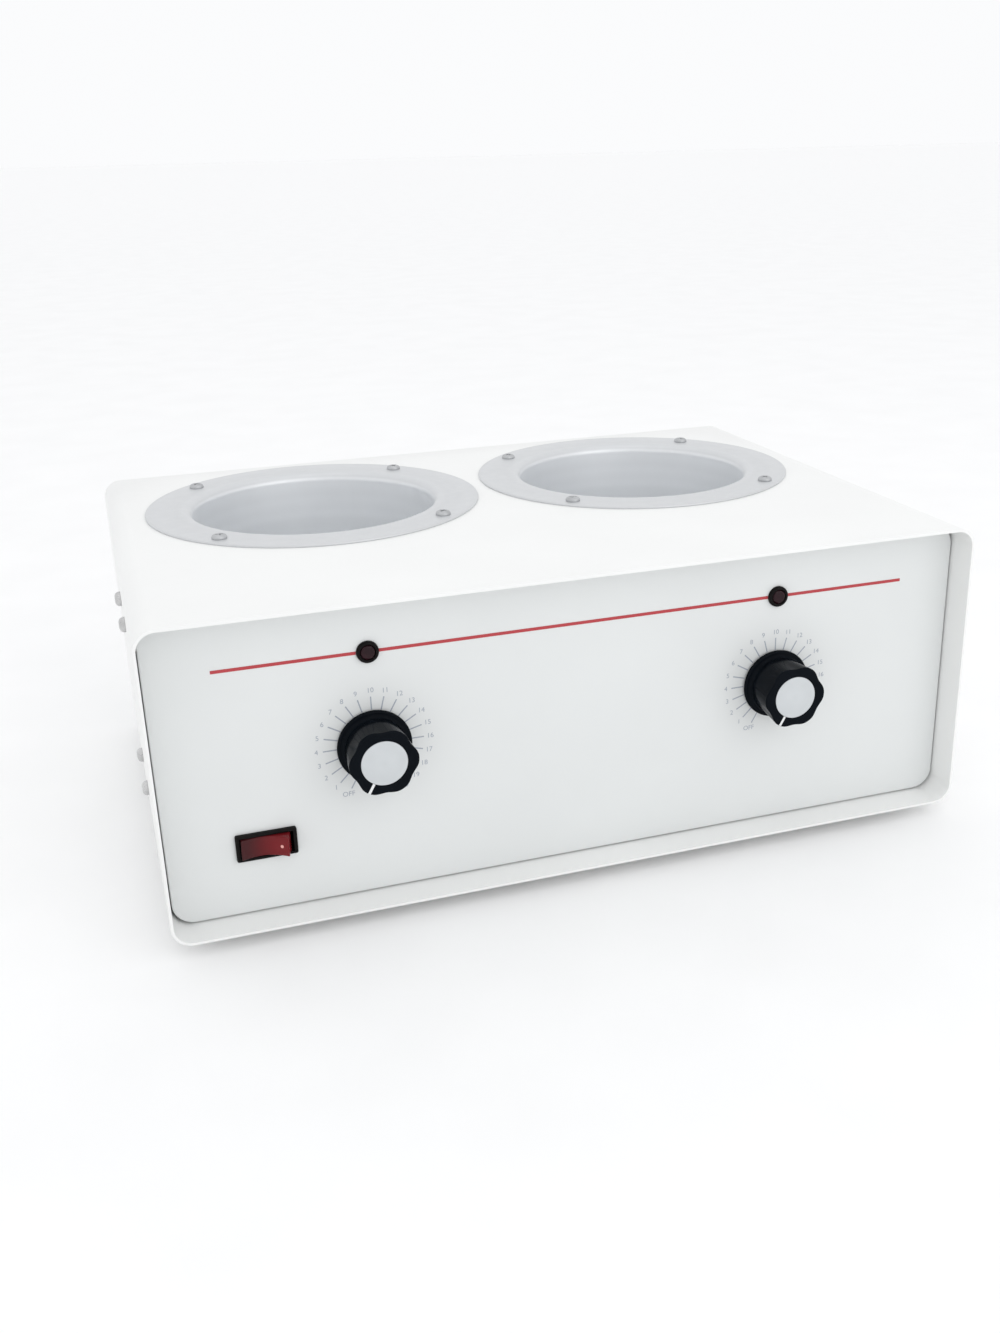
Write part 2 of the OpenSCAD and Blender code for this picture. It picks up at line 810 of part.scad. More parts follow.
// A temperature sensor: a lug flat under the pot, with a bead hanging from it
module sensor() {
    color("black") translate([0, -sensor_r, 0]) {
        translate([0, 0, pot_base_z - sensor_lug_t]) cylinder(h = sensor_lug_t, d = sensor_lug_d);
        translate([0, 0, pot_base_z - sensor_l]) cylinder(h = sensor_l, d = sensor_d);
    }
}

module left_sensor() {
    at_pot(-1) sensor();
}

module right_sensor() {
    at_pot(1) sensor();
}

// Dials

module control() {
    color("slategray") {
        difference() {
            union() {
                translate([0, 0, -panel_t - control_h]) cylinder(h = control_h, d = control_d);
                translate([0, 0, -panel_t - 1]) cylinder(h = panel_t + 1 + bushing_out, r = bushing_r);
            }
            translate([0, 0, -panel_t - control_h + control_tail])
                cylinder(h = control_h + panel_t + bushing_out, r = shaft_r + shaft_clear);
        }
        for (i = [-1:1])
            translate([i * lug_pitch - lug[0] / 2, -control_d / 2 - lug[2] + lug_in, -panel_t - control_h / 2])
                cube([lug[0], lug[2], lug[1]]);
    }
}

module left_control() {
    on_front(-dial_x, dial_z) control();
}

module right_control() {
    on_front(dial_x, dial_z) control();
}

module control_nuts() {
    color("silver")
        for (side = [-1, 1]) on_front(side * dial_x, dial_z)
            hex_nut(control_nut_af, control_nut_h, bushing_d + 2 * thread_clear);
}

// Everything on a dial is drawn with its pointer straight up, then turned back to 0
module dial(side) {
    on_front(side * dial_x, dial_z) rotate(zero_angle) children();
}

module shaft() {
    from = -panel_t - control_h + control_tail + shaft_room;
    color("gainsboro") difference() {
        translate([0, 0, from]) cylinder(h = shaft_end_z - from, r = shaft_r);
        translate([-flat_x - shaft_d, -shaft_d, bushing_out + 1]) cube([shaft_d, 2 * shaft_d, knob_h]);
    }
}

module knob() {
    side = concat(
        [[nut_room_r, knob_gap], [skirt_r - skirt_edge, knob_gap], [skirt_r, knob_gap + skirt_edge]],
        arc([skirt_r - skirt_round, skirt_z - skirt_round], skirt_round, 0, 90, 4),
        arc([waist_r + hollow_r, skirt_z + hollow_r], hollow_r, 270, 180, 6),
        arc([grip_r - rim_round, knob_h - rim_round], rim_round, 0, 90, 4)
    );
    face = [
        [cap_d / 2 + cap_fit, knob_h], [cap_d / 2 + cap_fit, knob_h - cap_recess], [0, knob_h - cap_recess],
        [0, shaft_end_z + shaft_room], [shaft_r + shaft_hold, shaft_end_z + shaft_room],
        [shaft_r + shaft_hold, bushing_out + bushing_room],
        [bushing_r + bushing_room, bushing_out + bushing_room],
        [bushing_r + bushing_room, nut_room_z], [nut_room_r, nut_room_z]
    ];
    color([0.1, 0.11, 0.13]) difference() {
        rotate_extrude($fn = 96) polygon(concat(side, face));
        for (i = [0:lobes - 1])
            rotate(360 / lobes * (i + 0.5)) translate([0, valley_r + flute_r, flute_z])
                cylinder(h = knob_h, r = flute_r);
        translate([-pointer_w / 2, cap_d / 2 + cap_fit - 0.2, knob_h - pointer_t])
            cube([pointer_w, grip_r, pointer_t + 1]);
        translate([0, 0, set_screw_z]) rotate([0, -90, 0])
            cylinder(h = grip_d, r = set_screw_d / 2 + thread_clear);
    }
}

module knob_cap() {
    color("gainsboro") translate([0, 0, knob_h - cap_recess]) cylinder(h = cap_t, d = cap_d, $fn = 96);
}

module pointer() {
    inner = cap_d / 2 + cap_fit;
    color("white") translate([-pointer_w / 2 + inlay_fit, inner, knob_h - pointer_t])
        cube([pointer_w - 2 * inlay_fit, grip_r - rim_round * 0.5 - inner, pointer_t]);
}

module set_screw() {
    color("dimgray") translate([-flat_x - shaft_hold, 0, set_screw_z]) rotate([0, -90, 0]) difference() {
        cylinder(h = set_screw_l, d = set_screw_d);
        translate([0, 0, set_screw_l / 2]) cylinder(h = set_screw_l, d = socket_d, $fn = 6);
    }
}

module left_shaft() {
    dial(-1) shaft();
}

module left_knob() {
    dial(-1) knob();
}

module left_knob_cap() {
    dial(-1) knob_cap();
}

module left_pointer() {
    dial(-1) pointer();
}

module left_knob_screw() {
    dial(-1) set_screw();
}

module right_shaft() {
    dial(1) shaft();
}

module right_knob() {
    dial(1) knob();
}

module right_knob_cap() {
    dial(1) knob_cap();
}

module right_pointer() {
    dial(1) pointer();
}

module right_knob_screw() {
    dial(1) set_screw();
}

// Pilot lights

module light() {
    rim = bezel_d / 2;
    bore = lens_d / 2 + lens_fit;
    color([0.08, 0.08, 0.09]) {
        difference() {
            union() {
                rotate_extrude() polygon(concat(
                    [[0, 0], [rim, 0]],
                    arc([rim - bezel_round, light_dome - bezel_round], bezel_round, 0, 90, 4),
                    [[0, light_dome]]
                ));
                translate([0, 0, -light_body_l]) cylinder(h = light_body_l + 0.1, d = light_body_d);
            }
            translate([0, 0, -lens_seat]) cylinder(h = lens_seat + light_dome + 1, r = bore);
        }
        for (s = [-1, 1]) translate([s * lamp_pin_x, 0, -light_body_l - lamp_pin_l])
            cylinder(h = lamp_pin_l + 1, d = lamp_pin_d, $fn = 16);
    }
}

module light_lens() {
    r = lens_d / 2;
    color([0.3, 0.05, 0.06]) rotate_extrude() polygon(concat(
        [[0, -lens_seat], [r, -lens_seat]],
        [for (a = [0:15:75]) [r * cos(a), light_dome - lens_edge + lens_crown * sin(a)]],
        [[0, light_dome - lens_edge + lens_crown]]
    ));
}

module left_light() {
    on_front(-dial_x, light_z) light();
}

module right_light() {
    on_front(dial_x, light_z) light();
}

module left_light_lens() {
    on_front(-dial_x, light_z) light_lens();
}

module right_light_lens() {
    on_front(dial_x, light_z) light_lens();
}

module light_nuts() {
    color("black")
        for (side = [-1, 1]) on_front(side * dial_x, light_z)
            translate([0, 0, -panel_t - light_nut_h]) difference() {
                cylinder(h = light_nut_h, d = light_nut_d);
                translate([0, 0, -1]) cylinder(h = light_nut_h + 2, d = light_body_d + 2 * thread_clear);
            }
}

// Switch

module switch_housing() {
    color([0.07, 0.07, 0.08]) on_front(-switch_x, switch_z) difference() {
        union() {
            linear_extrude(switch_out) rounded_rect(switch_w, switch_h, 0.8);
            translate([-switch_body_w / 2, -switch_body_h / 2, -switch_depth])
                cube([switch_body_w, switch_body_h, switch_depth + 0.1]);
        }
        translate([-switch_room_w / 2, -switch_room_h / 2, -switch_room_depth])
            cube([switch_room_w, switch_room_h, switch_room_depth + switch_out + 1]);
        translate([0, 0, -pivot_in]) rotate([90, 0, 0])
            cylinder(h = switch_body_h + 2, r = pivot_d / 2 + pivot_clear, center = true);
    }
}

module switch_blades() {
    color("goldenrod") on_front(-switch_x, switch_z)
        for (i = [-1:1])
            translate([i * blade_pitch - blade[0] / 2, -blade[1] / 2, -switch_depth - blade[2]])
                cube(blade);
}

// Seen from above: the ends are arcs about the pivot, then straight up to the tips of the dipped face
module rocker_plan() {
    tip_z = pivot_in + rocker_end;
    intersection() {
        union() {
            circle(rocker_r, $fn = 96);
            translate([-rocker_side, pivot_in + switch_out]) square([2 * rocker_side, rocker_end]);
        }
        polygon([
            [-rocker_side, tip_z], [0, rocker_dip + pivot_in], [rocker_side, tip_z],
            [rocker_r + 1, pivot_in + rocker_edge], [rocker_foot, -pivot_d], [-rocker_foot, -pivot_d],
            [-rocker_r - 1, pivot_in + rocker_edge]
        ]);
    }
}

module switch_rocker() {
    color([0.45, 0.07, 0.09]) on_front(-switch_x, switch_z) translate([0, 0, -pivot_in])
        rotate([0, -rocker_tilt, 0]) rotate([90, 0, 0]) {
            translate([0, 0, -rocker_h / 2]) linear_extrude(rocker_h) rocker_plan();
            cylinder(h = switch_body_h - rocker_gap, d = pivot_d, center = true);
        }
}

// Inlet

// The mouth has its two upper corners cut off
module mouth() {
    w = mouth_w / 2;
    h = mouth_h / 2;
    polygon([
        [-w, -h], [w, -h], [w, h - mouth_cut], [w - mouth_cut, h], [mouth_cut - w, h], [-w, h - mouth_cut]
    ]);
}

module power_inlet() {
    color([0.06, 0.06, 0.07]) on_rear(-inlet_x, inlet_z) difference() {
        union() {
            linear_extrude(inlet_flange_t) rounded_rect(inlet_flange_w, inlet_flange_h, 5);
            translate([0, 0, inlet_flange_t - mouth_depth - inlet_wall])
                linear_extrude(mouth_depth + inlet_wall)
                    square([inlet_body_w, inlet_body_h], center = true);
        }
        translate([0, 0, inlet_flange_t - mouth_depth]) linear_extrude(mouth_depth + 1) mouth();
        for (sx = [-1, 1]) translate([sx * inlet_screw_dx / 2, 0, -1])
            cylinder(h = inlet_flange_t + 2, r = board_screw_d / 2 + pass_clear);
        at_inlet_pins() cube([pin[0] + 2 * pin_fit, pin[1] + 2 * pin_fit, 4 * inlet_wall], center = true);
    }
}

// Children at each pin, with z = 0 on the floor of the mouth
module at_inlet_pins() {
    translate([0, 0, inlet_flange_t - mouth_depth]) {
        for (s = [-1, 1]) translate([s * pin_dx, -line_pin_down, 0]) children();
        translate([0, earth_pin_up, 0]) children();
    }
}

module inlet_pins() {
    color("silver") on_rear(-inlet_x, inlet_z) at_inlet_pins()
        translate([-pin[0] / 2, -pin[1] / 2, -inlet_wall - inlet_tail])
            cube([pin[0], pin[1], pin[2] + inlet_wall + inlet_tail]);
}

module inlet_screws() {
    color("silver") on_rear(-inlet_x, inlet_z)
        for (sx = [-1, 1]) translate([sx * inlet_screw_dx / 2, 0, inlet_flange_t])
            cross_screw(board_screw_d, inlet_flange_t + panel_t + screw_past, board_head_d, board_head_h);
}

// A stud through the bottom of the case, with a ring terminal and a nut
module earth_stud() {
    color("goldenrod") translate([stud_x, stud_y, 0]) {
        translate([0, 0, under_z - stud_head_h]) cylinder(h = stud_head_h, d = stud_head_d);
        translate([0, 0, under_z]) cylinder(h = case_t + ring_t + tab_nut_h + stud_past, d = stud_d);
        translate([0, 0, floor_z]) cylinder(h = ring_t, d = ring_d);
        translate([0, stud_d, floor_z + barrel_up]) rotate([-90, 0, 0])
            cylinder(h = barrel_l - stud_d, d = barrel_d);
        translate([0, 0, floor_z + ring_t]) cylinder(h = tab_nut_h, d = nut_af_4 / cos(30), $fn = 6);
    }
}

// Board

module at_board_screws() {
    for (sx = [-1, 1], y = [board_y + board_screw_inset, board_y + board_d - board_screw_inset])
        translate([sx * (board_w / 2 - board_screw_inset), y, 0]) children();
}

module control_board() {
    color("darkgreen") difference() {
        translate([-board_w / 2, board_y, board_z]) cube([board_w, board_d, board_t]);
        at_board_screws() translate([0, 0, board_z - 1])
            cylinder(h = board_t + 2, r = board_screw_d / 2 + pass_clear);
    }
}

module board_transformer() {
    color("orange") translate([transformer_x - transformer[0] / 2, part_y, board_top_z]) {
        cube([transformer[0], transformer[1], transformer[2] - coil_up]);
        translate([coil_inset, coil_inset, 0])
            cube([transformer[0] - 2 * coil_inset, transformer[1] - 2 * coil_inset, transformer[2]]);
    }
}

module board_relays() {
    color("royalblue")
        for (x = relay_x) translate([x, part_y, board_top_z]) cube(relay);
}

module board_capacitors() {
    color("navy")
        for (i = [0:1])
            translate([capacitor_x, part_y + capacitor_d / 2 + i * (capacitor_d + capacitor_gap), board_top_z])
                cylinder(h = capacitor_h, d = capacitor_d);
}

module heat_sink() {
    color("gray") translate([sink_x, part_y + 3, board_top_z]) {
        cube(sink);
        for (i = [0:sink_fins - 1])
            translate([sink[0], i * (sink[1] - sink_fin[1]) / (sink_fins - 1), 0]) cube(sink_fin);
    }
}

// Terminal block, with a pocket for each lead in its top
module terminal_block() {
    color("limegreen") difference() {
        translate([-block[0] / 2, block_y, board_top_z]) cube(block);
        for (i = [0:block_ways - 1]) translate(way(i)) cylinder(h = way_depth + 1, d = lead_d + 1);
    }
}

function block_x(i) = (i - (block_ways - 1) / 2) * block[0] / block_ways;

module board_standoffs() {
    color("silver") at_board_screws() translate([0, 0, floor_z]) difference() {
        cylinder(h = standoff_h, d = standoff_d);
        translate([0, 0, standoff_floor]) cylinder(h = standoff_h, r = board_screw_d / 2 + thread_clear);
    }
}

module board_screws() {
    color("silver") at_board_screws() translate([0, 0, board_top_z])
        pan_screw(board_screw_d, board_t + standoff_h - 2 * standoff_floor, board_head_d, board_head_h);
}

// Leads

// The bottom of a pocket of the terminal block, and a point over it
function way(i) = [block_x(i), block_y + block[1] / 2, board_top_z + block[2] - way_depth];
function over_way(i) = way(i) + [0, 0, way_rise];

// The pocket with number i, counted from the left on the left side and from the right on the right
function side_way(side, i) = side < 0 ? i : block_ways - 1 - i;

// Line from the inlet to the switch, line from the switch to the board, neutral from the inlet to the
// board, and earth from the inlet to the stud
module mains_leads() {
    tail_y = rear_face_y + inlet_flange_t - mouth_depth - inlet_wall - inlet_tail;
    blade_y = front_face_y + switch_depth + blade[2];
    pin_z = inlet_z - line_pin_down;
    earth_z = inlet_z + earth_pin_up;
    line_x = -inlet_x - pin_dx;
    neutral_x = -inlet_x + pin_dx;
    wall_x = -switch_x - 3;
    turn_x = -switch_x + 7;
    turn_y = behind_board_y + 3;
    live_way = block_ways / 2 - 2;
    neutral_way = block_ways / 2 - 1;
    color("saddlebrown") {
        lead([[line_x, tail_y, pin_z], [line_x, tail_y - 10, pin_z], [wall_x, tail_y - 22, lead_low_z],
              [wall_x, blade_y + 27, lead_low_z], [-switch_x - blade_pitch, blade_y + 12, switch_z],
              [-switch_x - blade_pitch, blade_y, switch_z]], lead_d);
        lead([[-switch_x, blade_y, switch_z], [-switch_x, blade_y + 8, switch_z],
              [turn_x, blade_y + 22, lead_low_z], [turn_x, turn_y, lead_low_z],
              [block_x(live_way), turn_y, lead_low_z], [block_x(live_way), behind_board_y, lead_high_z],
              over_way(live_way), way(live_way)], lead_d);
    }
    color("royalblue")
        lead([[neutral_x, tail_y, pin_z], [neutral_x, tail_y - 8, pin_z],
              [neutral_x + 23, tail_y - 16, lead_low_z], [block_x(neutral_way), tail_y - 28, lead_low_z],
              [block_x(neutral_way), turn_y, lead_low_z], [block_x(neutral_way), behind_board_y, lead_high_z],
              over_way(neutral_way), way(neutral_way)], lead_d);
    color("forestgreen")
        lead([[-inlet_x, tail_y, earth_z], [-inlet_x, tail_y - 7, earth_z],
              [-inlet_x, tail_y - 9, floor_z + barrel_up], [stud_x, stud_y + barrel_l, floor_z + barrel_up]],
             lead_d);
}

// From the outer post of each band to the cut-out, from the cut-out to the board, and from the inner
// post to the board
module heater_leads() {
    post_r = band_r + band_post_l;
    post_y = pot_y - cos(post_angle) * post_r;
    post_z = band_z + band_h / 2;
    blade_z = pot_base_z - cutout_h - cutout_blade[2];
    loop_z = blade_z - 9;
    color("ivory") for (side = [-1, 1]) {
        pot_x = side * pot_spacing / 2;
        out = side * sin(post_angle);
        cut_way = side_way(side, 0);
        heat_way = side_way(side, 4);
        outer = [pot_x + out * post_r, post_y, post_z];
        inner = [pot_x - out * post_r, post_y, post_z];
        outer_on = outer + post_lead * [out, -cos(post_angle), 0];
        inner_on = inner + post_lead * [-out, -cos(post_angle), 0];
        far_x = pot_x + side * cutout_blade_x;
        near_x = pot_x - side * cutout_blade_x;
        lead([outer, outer_on, [outer_on[0], outer_on[1], pot_base_z], [far_x, pot_y, loop_z],
              [far_x, pot_y, blade_z]], lead_d);
        lead([[near_x, pot_y, blade_z], [near_x, pot_y, loop_z], [block_x(cut_way), behind_board_y + 1, loop_z],
              [block_x(cut_way), behind_board_y - 1, lead_high_z], over_way(cut_way), way(cut_way)], lead_d);
        lead([inner, inner_on, [inner_on[0], inner_on[1] - 4, pot_base_z + 10], over_way(heat_way),
              way(heat_way)], lead_d);
    }
}

// From the controls, the pilot lights and the sensors to the board
module signal_leads() {
    lug_y = front_back_y + control_h / 2 - lug[1] / 2;
    lug_z = dial_z - control_d / 2 - lug[2] + lug_in;
    lamp_y = front_face_y + light_body_l + lamp_pin_l;
    sensor_y = pot_y - sensor_r;
    sensor_z = pot_base_z - sensor_l;
    color("crimson") for (side = [-1, 1]) {
        for (j = [-1:1]) {
            i = side_way(side, 6 - side * j);
            start = [side * dial_x + j * lug_pitch, lug_y, lug_z];
            lead([start, start - [0, 0, 6], over_way(i) + [0, -18, 3], over_way(i), way(i)], thin_lead_d);
        }
        for (out = [-1, 1]) {
            i = side_way(side, out > 0 ? 1 : 2);
            x = side * (dial_x + out * lamp_pin_x);
            back = out > 0 ? lamp_y + 8 : lamp_y + 5;
            lead([[x, lamp_y, light_z], [x, back, light_z], [x, back + 2, dial_z - control_d / 2],
                  over_way(i) + [0, -18, 6], over_way(i), way(i)], thin_lead_d);
        }
        sensor_way = side_way(side, 3);
        lead([[side * pot_spacing / 2, sensor_y, sensor_z], [side * pot_spacing / 2, sensor_y, sensor_z - 6],
              [block_x(sensor_way), sensor_y - 7, sensor_z - 6], over_way(sensor_way) + [0, 8, 0],
              over_way(sensor_way), way(sensor_way)], lead_d);
    }
}

// Feet

module at_feet() {
    for (sx = [-1, 1], sy = [-1, 1]) translate([sx * foot_x, mid_y + sy * foot_y, 0]) children();
}

module feet() {
    color([0.1, 0.1, 0.1]) at_feet() difference() {
        cylinder(h = foot_h, d1 = foot_d - 2, d2 = foot_d);
        translate([0, 0, -1]) cylinder(h = foot_h - foot_seat + 1, d = foot_head_d + 1);
        translate([0, 0, -1]) cylinder(h = foot_h + 2, r = foot_screw_d / 2 + snug);
    }
}

module foot_screws() {
    color("silver") at_feet() translate([0, 0, foot_h - foot_seat]) rotate([180, 0, 0])
        cross_screw(foot_screw_d, foot_seat + case_t + screw_past, foot_head_d, foot_head_h);
}

case_sleeve();
front_panel();
rear_panel();
left_chassis_plate();
right_chassis_plate();
side_screws();
front_panel_nuts();
rear_panel_screws();
red_stripe();
left_pot();
right_pot();
pot_screws();
left_heater_band();
right_heater_band();
band_screws();
left_insulation();
right_insulation();
left_cutout();
right_cutout();
left_sensor();
right_sensor();
left_control();
right_control();
control_nuts();
left_shaft();
left_knob();
left_knob_cap();
left_pointer();
left_knob_screw();
right_shaft();
right_knob();
right_knob_cap();
right_pointer();
right_knob_screw();
left_light();
left_light_lens();
right_light();
right_light_lens();
light_nuts();
switch_housing();
switch_blades();
switch_rocker();
power_inlet();
inlet_pins();
inlet_screws();
earth_stud();
control_board();
board_transformer();
board_relays();
board_capacitors();
heat_sink();
terminal_block();
board_standoffs();
board_screws();
mains_leads();
heater_leads();
signal_leads();
feet();
foot_screws();
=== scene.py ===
"""The looks of the double wax warmer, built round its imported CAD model. Metres; the front faces -Y."""

import json
import math

import bmesh
import bpy
from mathutils import Matrix, Vector


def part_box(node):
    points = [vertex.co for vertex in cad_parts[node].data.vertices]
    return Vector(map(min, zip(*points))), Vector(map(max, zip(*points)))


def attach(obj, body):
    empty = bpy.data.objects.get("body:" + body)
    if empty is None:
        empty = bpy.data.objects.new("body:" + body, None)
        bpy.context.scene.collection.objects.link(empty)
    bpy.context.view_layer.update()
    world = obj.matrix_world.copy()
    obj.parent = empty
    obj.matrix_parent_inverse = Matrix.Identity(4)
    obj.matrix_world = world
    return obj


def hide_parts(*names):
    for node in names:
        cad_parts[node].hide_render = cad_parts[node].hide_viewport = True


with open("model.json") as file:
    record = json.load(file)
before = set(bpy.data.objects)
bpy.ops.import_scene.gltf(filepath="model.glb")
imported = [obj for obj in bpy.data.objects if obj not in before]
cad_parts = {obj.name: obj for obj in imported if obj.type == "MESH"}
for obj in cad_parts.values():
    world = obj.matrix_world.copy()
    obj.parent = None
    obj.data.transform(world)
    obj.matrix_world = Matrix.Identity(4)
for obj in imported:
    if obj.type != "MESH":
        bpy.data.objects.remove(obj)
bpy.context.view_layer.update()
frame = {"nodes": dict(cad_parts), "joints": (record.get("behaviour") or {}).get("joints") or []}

nodes = frame["nodes"]
places = {joint["name"]: Vector(joint["pos_m"]) for joint in frame["joints"]}

MM = 0.001
TINY = 1e-6


# Sizes, read from the frame or given in metres

def span(node):
    """A node's lowest corner, highest corner and middle"""
    low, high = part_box(node)
    return low, high, (low + high) / 2


case_low, case_high, case_mid = span("case_sleeve")
panel_low, panel_high, panel_mid = span("front_panel")
back_high, back_mid = span("rear_panel")[1:]
sheet = 1.2 * MM
case_corner = 8.5 * MM
panel_corner = 9 * MM
panel_lip = 10 * MM
front_face = panel_low.y
rear_face = back_high.y
case_top = case_high.z
pot_sheet = 1 * MM
pot_low, pot_high, pot_mid = span("left_pot")
pot_top = pot_high.z
flange_r = pot_high.x - pot_mid.x
well_r = 56.75 * MM
lip_r = 4 * MM
well_base_r = 6 * MM
well_depth = pot_top - pot_low.z - pot_sheet
pot_ring = 70.7 * MM
pot_hole_gap = 0.6 * MM
case_hole_r = well_r + lip_r + pot_hole_gap
dial_places = {"left": places["left_dial_turn"], "right": places["right_dial_turn"]}
switch = places["power_rocker_tip"]
knob_h = 19.4 * MM
grip_r = 13.9 * MM
pointer_turn = math.radians(150)
cap_r = 9.2 * MM
screw_head_r = 3.3 * MM
screw_head_h = 2.6 * MM
flange_head_r = 3.4 * MM
flange_head_h = 1.8 * MM
screw_r = 1.75 * MM
small_head_r = 2.75 * MM
small_head_h = 2 * MM
foot_head_r = 3.7 * MM
foot_head_h = 2.6 * MM
inlet = span("power_inlet")[2]
inlet_flange_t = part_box("power_inlet")[1].y - rear_face
foot_r = 9 * MM
foot_seat = case_low.z - 2.4 * MM
feet_low, feet_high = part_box("feet")
foot_spots = [(x, y) for x in (feet_low.x + foot_r, feet_high.x - foot_r)
              for y in (feet_low.y + foot_r, feet_high.y - foot_r)]


# Camera, lights and floor

def add_camera():
    """The photograph's viewpoint: its place, its turns and its lens were fitted to the case's edges"""
    place = Vector((-0.17972, -0.59378, 0.29449))
    yaw, pitch, roll = 0.32218, 0.37088, -0.02288
    image_w, image_h = 1000, 1333
    focal, axis_u, axis_v = 1356.64, 543.01, 667.77
    sensor_w, near = 36, 10 * MM
    ahead = Vector((math.sin(yaw) * math.cos(pitch), math.cos(yaw) * math.cos(pitch), -math.sin(pitch)))
    level = Vector((math.cos(yaw), -math.sin(yaw), 0))
    above = level.cross(ahead)
    right = level * math.cos(roll) + above * math.sin(roll)
    up = above * math.cos(roll) - level * math.sin(roll)
    data = bpy.data.cameras.new("camera")
    data.sensor_width = sensor_w
    data.lens = focal * sensor_w / image_h
    data.shift_x = (image_w / 2 - axis_u) / image_h
    data.shift_y = (axis_v - image_h / 2) / image_h
    data.clip_start = near
    camera = bpy.data.objects.new("camera", data)
    turn = Matrix((right, up, -ahead)).transposed().to_4x4()
    camera.matrix_world = Matrix.Translation(place) @ turn
    bpy.context.scene.collection.objects.link(camera)
    bpy.context.scene.camera = camera


def add_softbox(name, place, size, power):
    """A square studio light at a place, turned to face the case"""
    studio_aim = Vector((0, 0, 70 * MM))
    data = bpy.data.lights.new(name, "AREA")
    data.shape = "SQUARE"
    data.size = size
    data.energy = power
    box = bpy.data.objects.new(name, data)
    aim = (studio_aim - Vector(place)).to_track_quat("-Z", "Y")
    box.matrix_world = Matrix.Translation(place) @ aim.to_matrix().to_4x4()
    bpy.context.scene.collection.objects.link(box)


def add_studio():
    """A wide pale floor, an even white surround, and two softboxes"""
    surround_white, surround_strength, floor_size = (0.985, 0.99, 1, 1), 0.98, 30
    world = bpy.data.worlds.new("surround")
    world.use_nodes = True
    surround = world.node_tree.nodes["Background"]
    surround.inputs["Color"].default_value = surround_white
    surround.inputs["Strength"].default_value = surround_strength
    bpy.context.scene.world = world
    bpy.context.scene.view_settings.view_transform = "Standard"
    add_softbox("top_softbox", (0, -0.1, 1.5), 1.2, 0.8)
    add_softbox("front_softbox", (0.5, -1.2, 0.7), 1.2, 2.2)

    ground = bmesh.new()
    bmesh.ops.create_grid(ground, x_segments=1, y_segments=1, size=floor_size)
    mesh = bpy.data.meshes.new("floor")
    ground.to_mesh(mesh)
    ground.free()
    mesh.materials.append(studio_floor)
    floor = bpy.data.objects.new("floor", mesh)
    bpy.context.scene.collection.objects.link(floor)


# Finishes

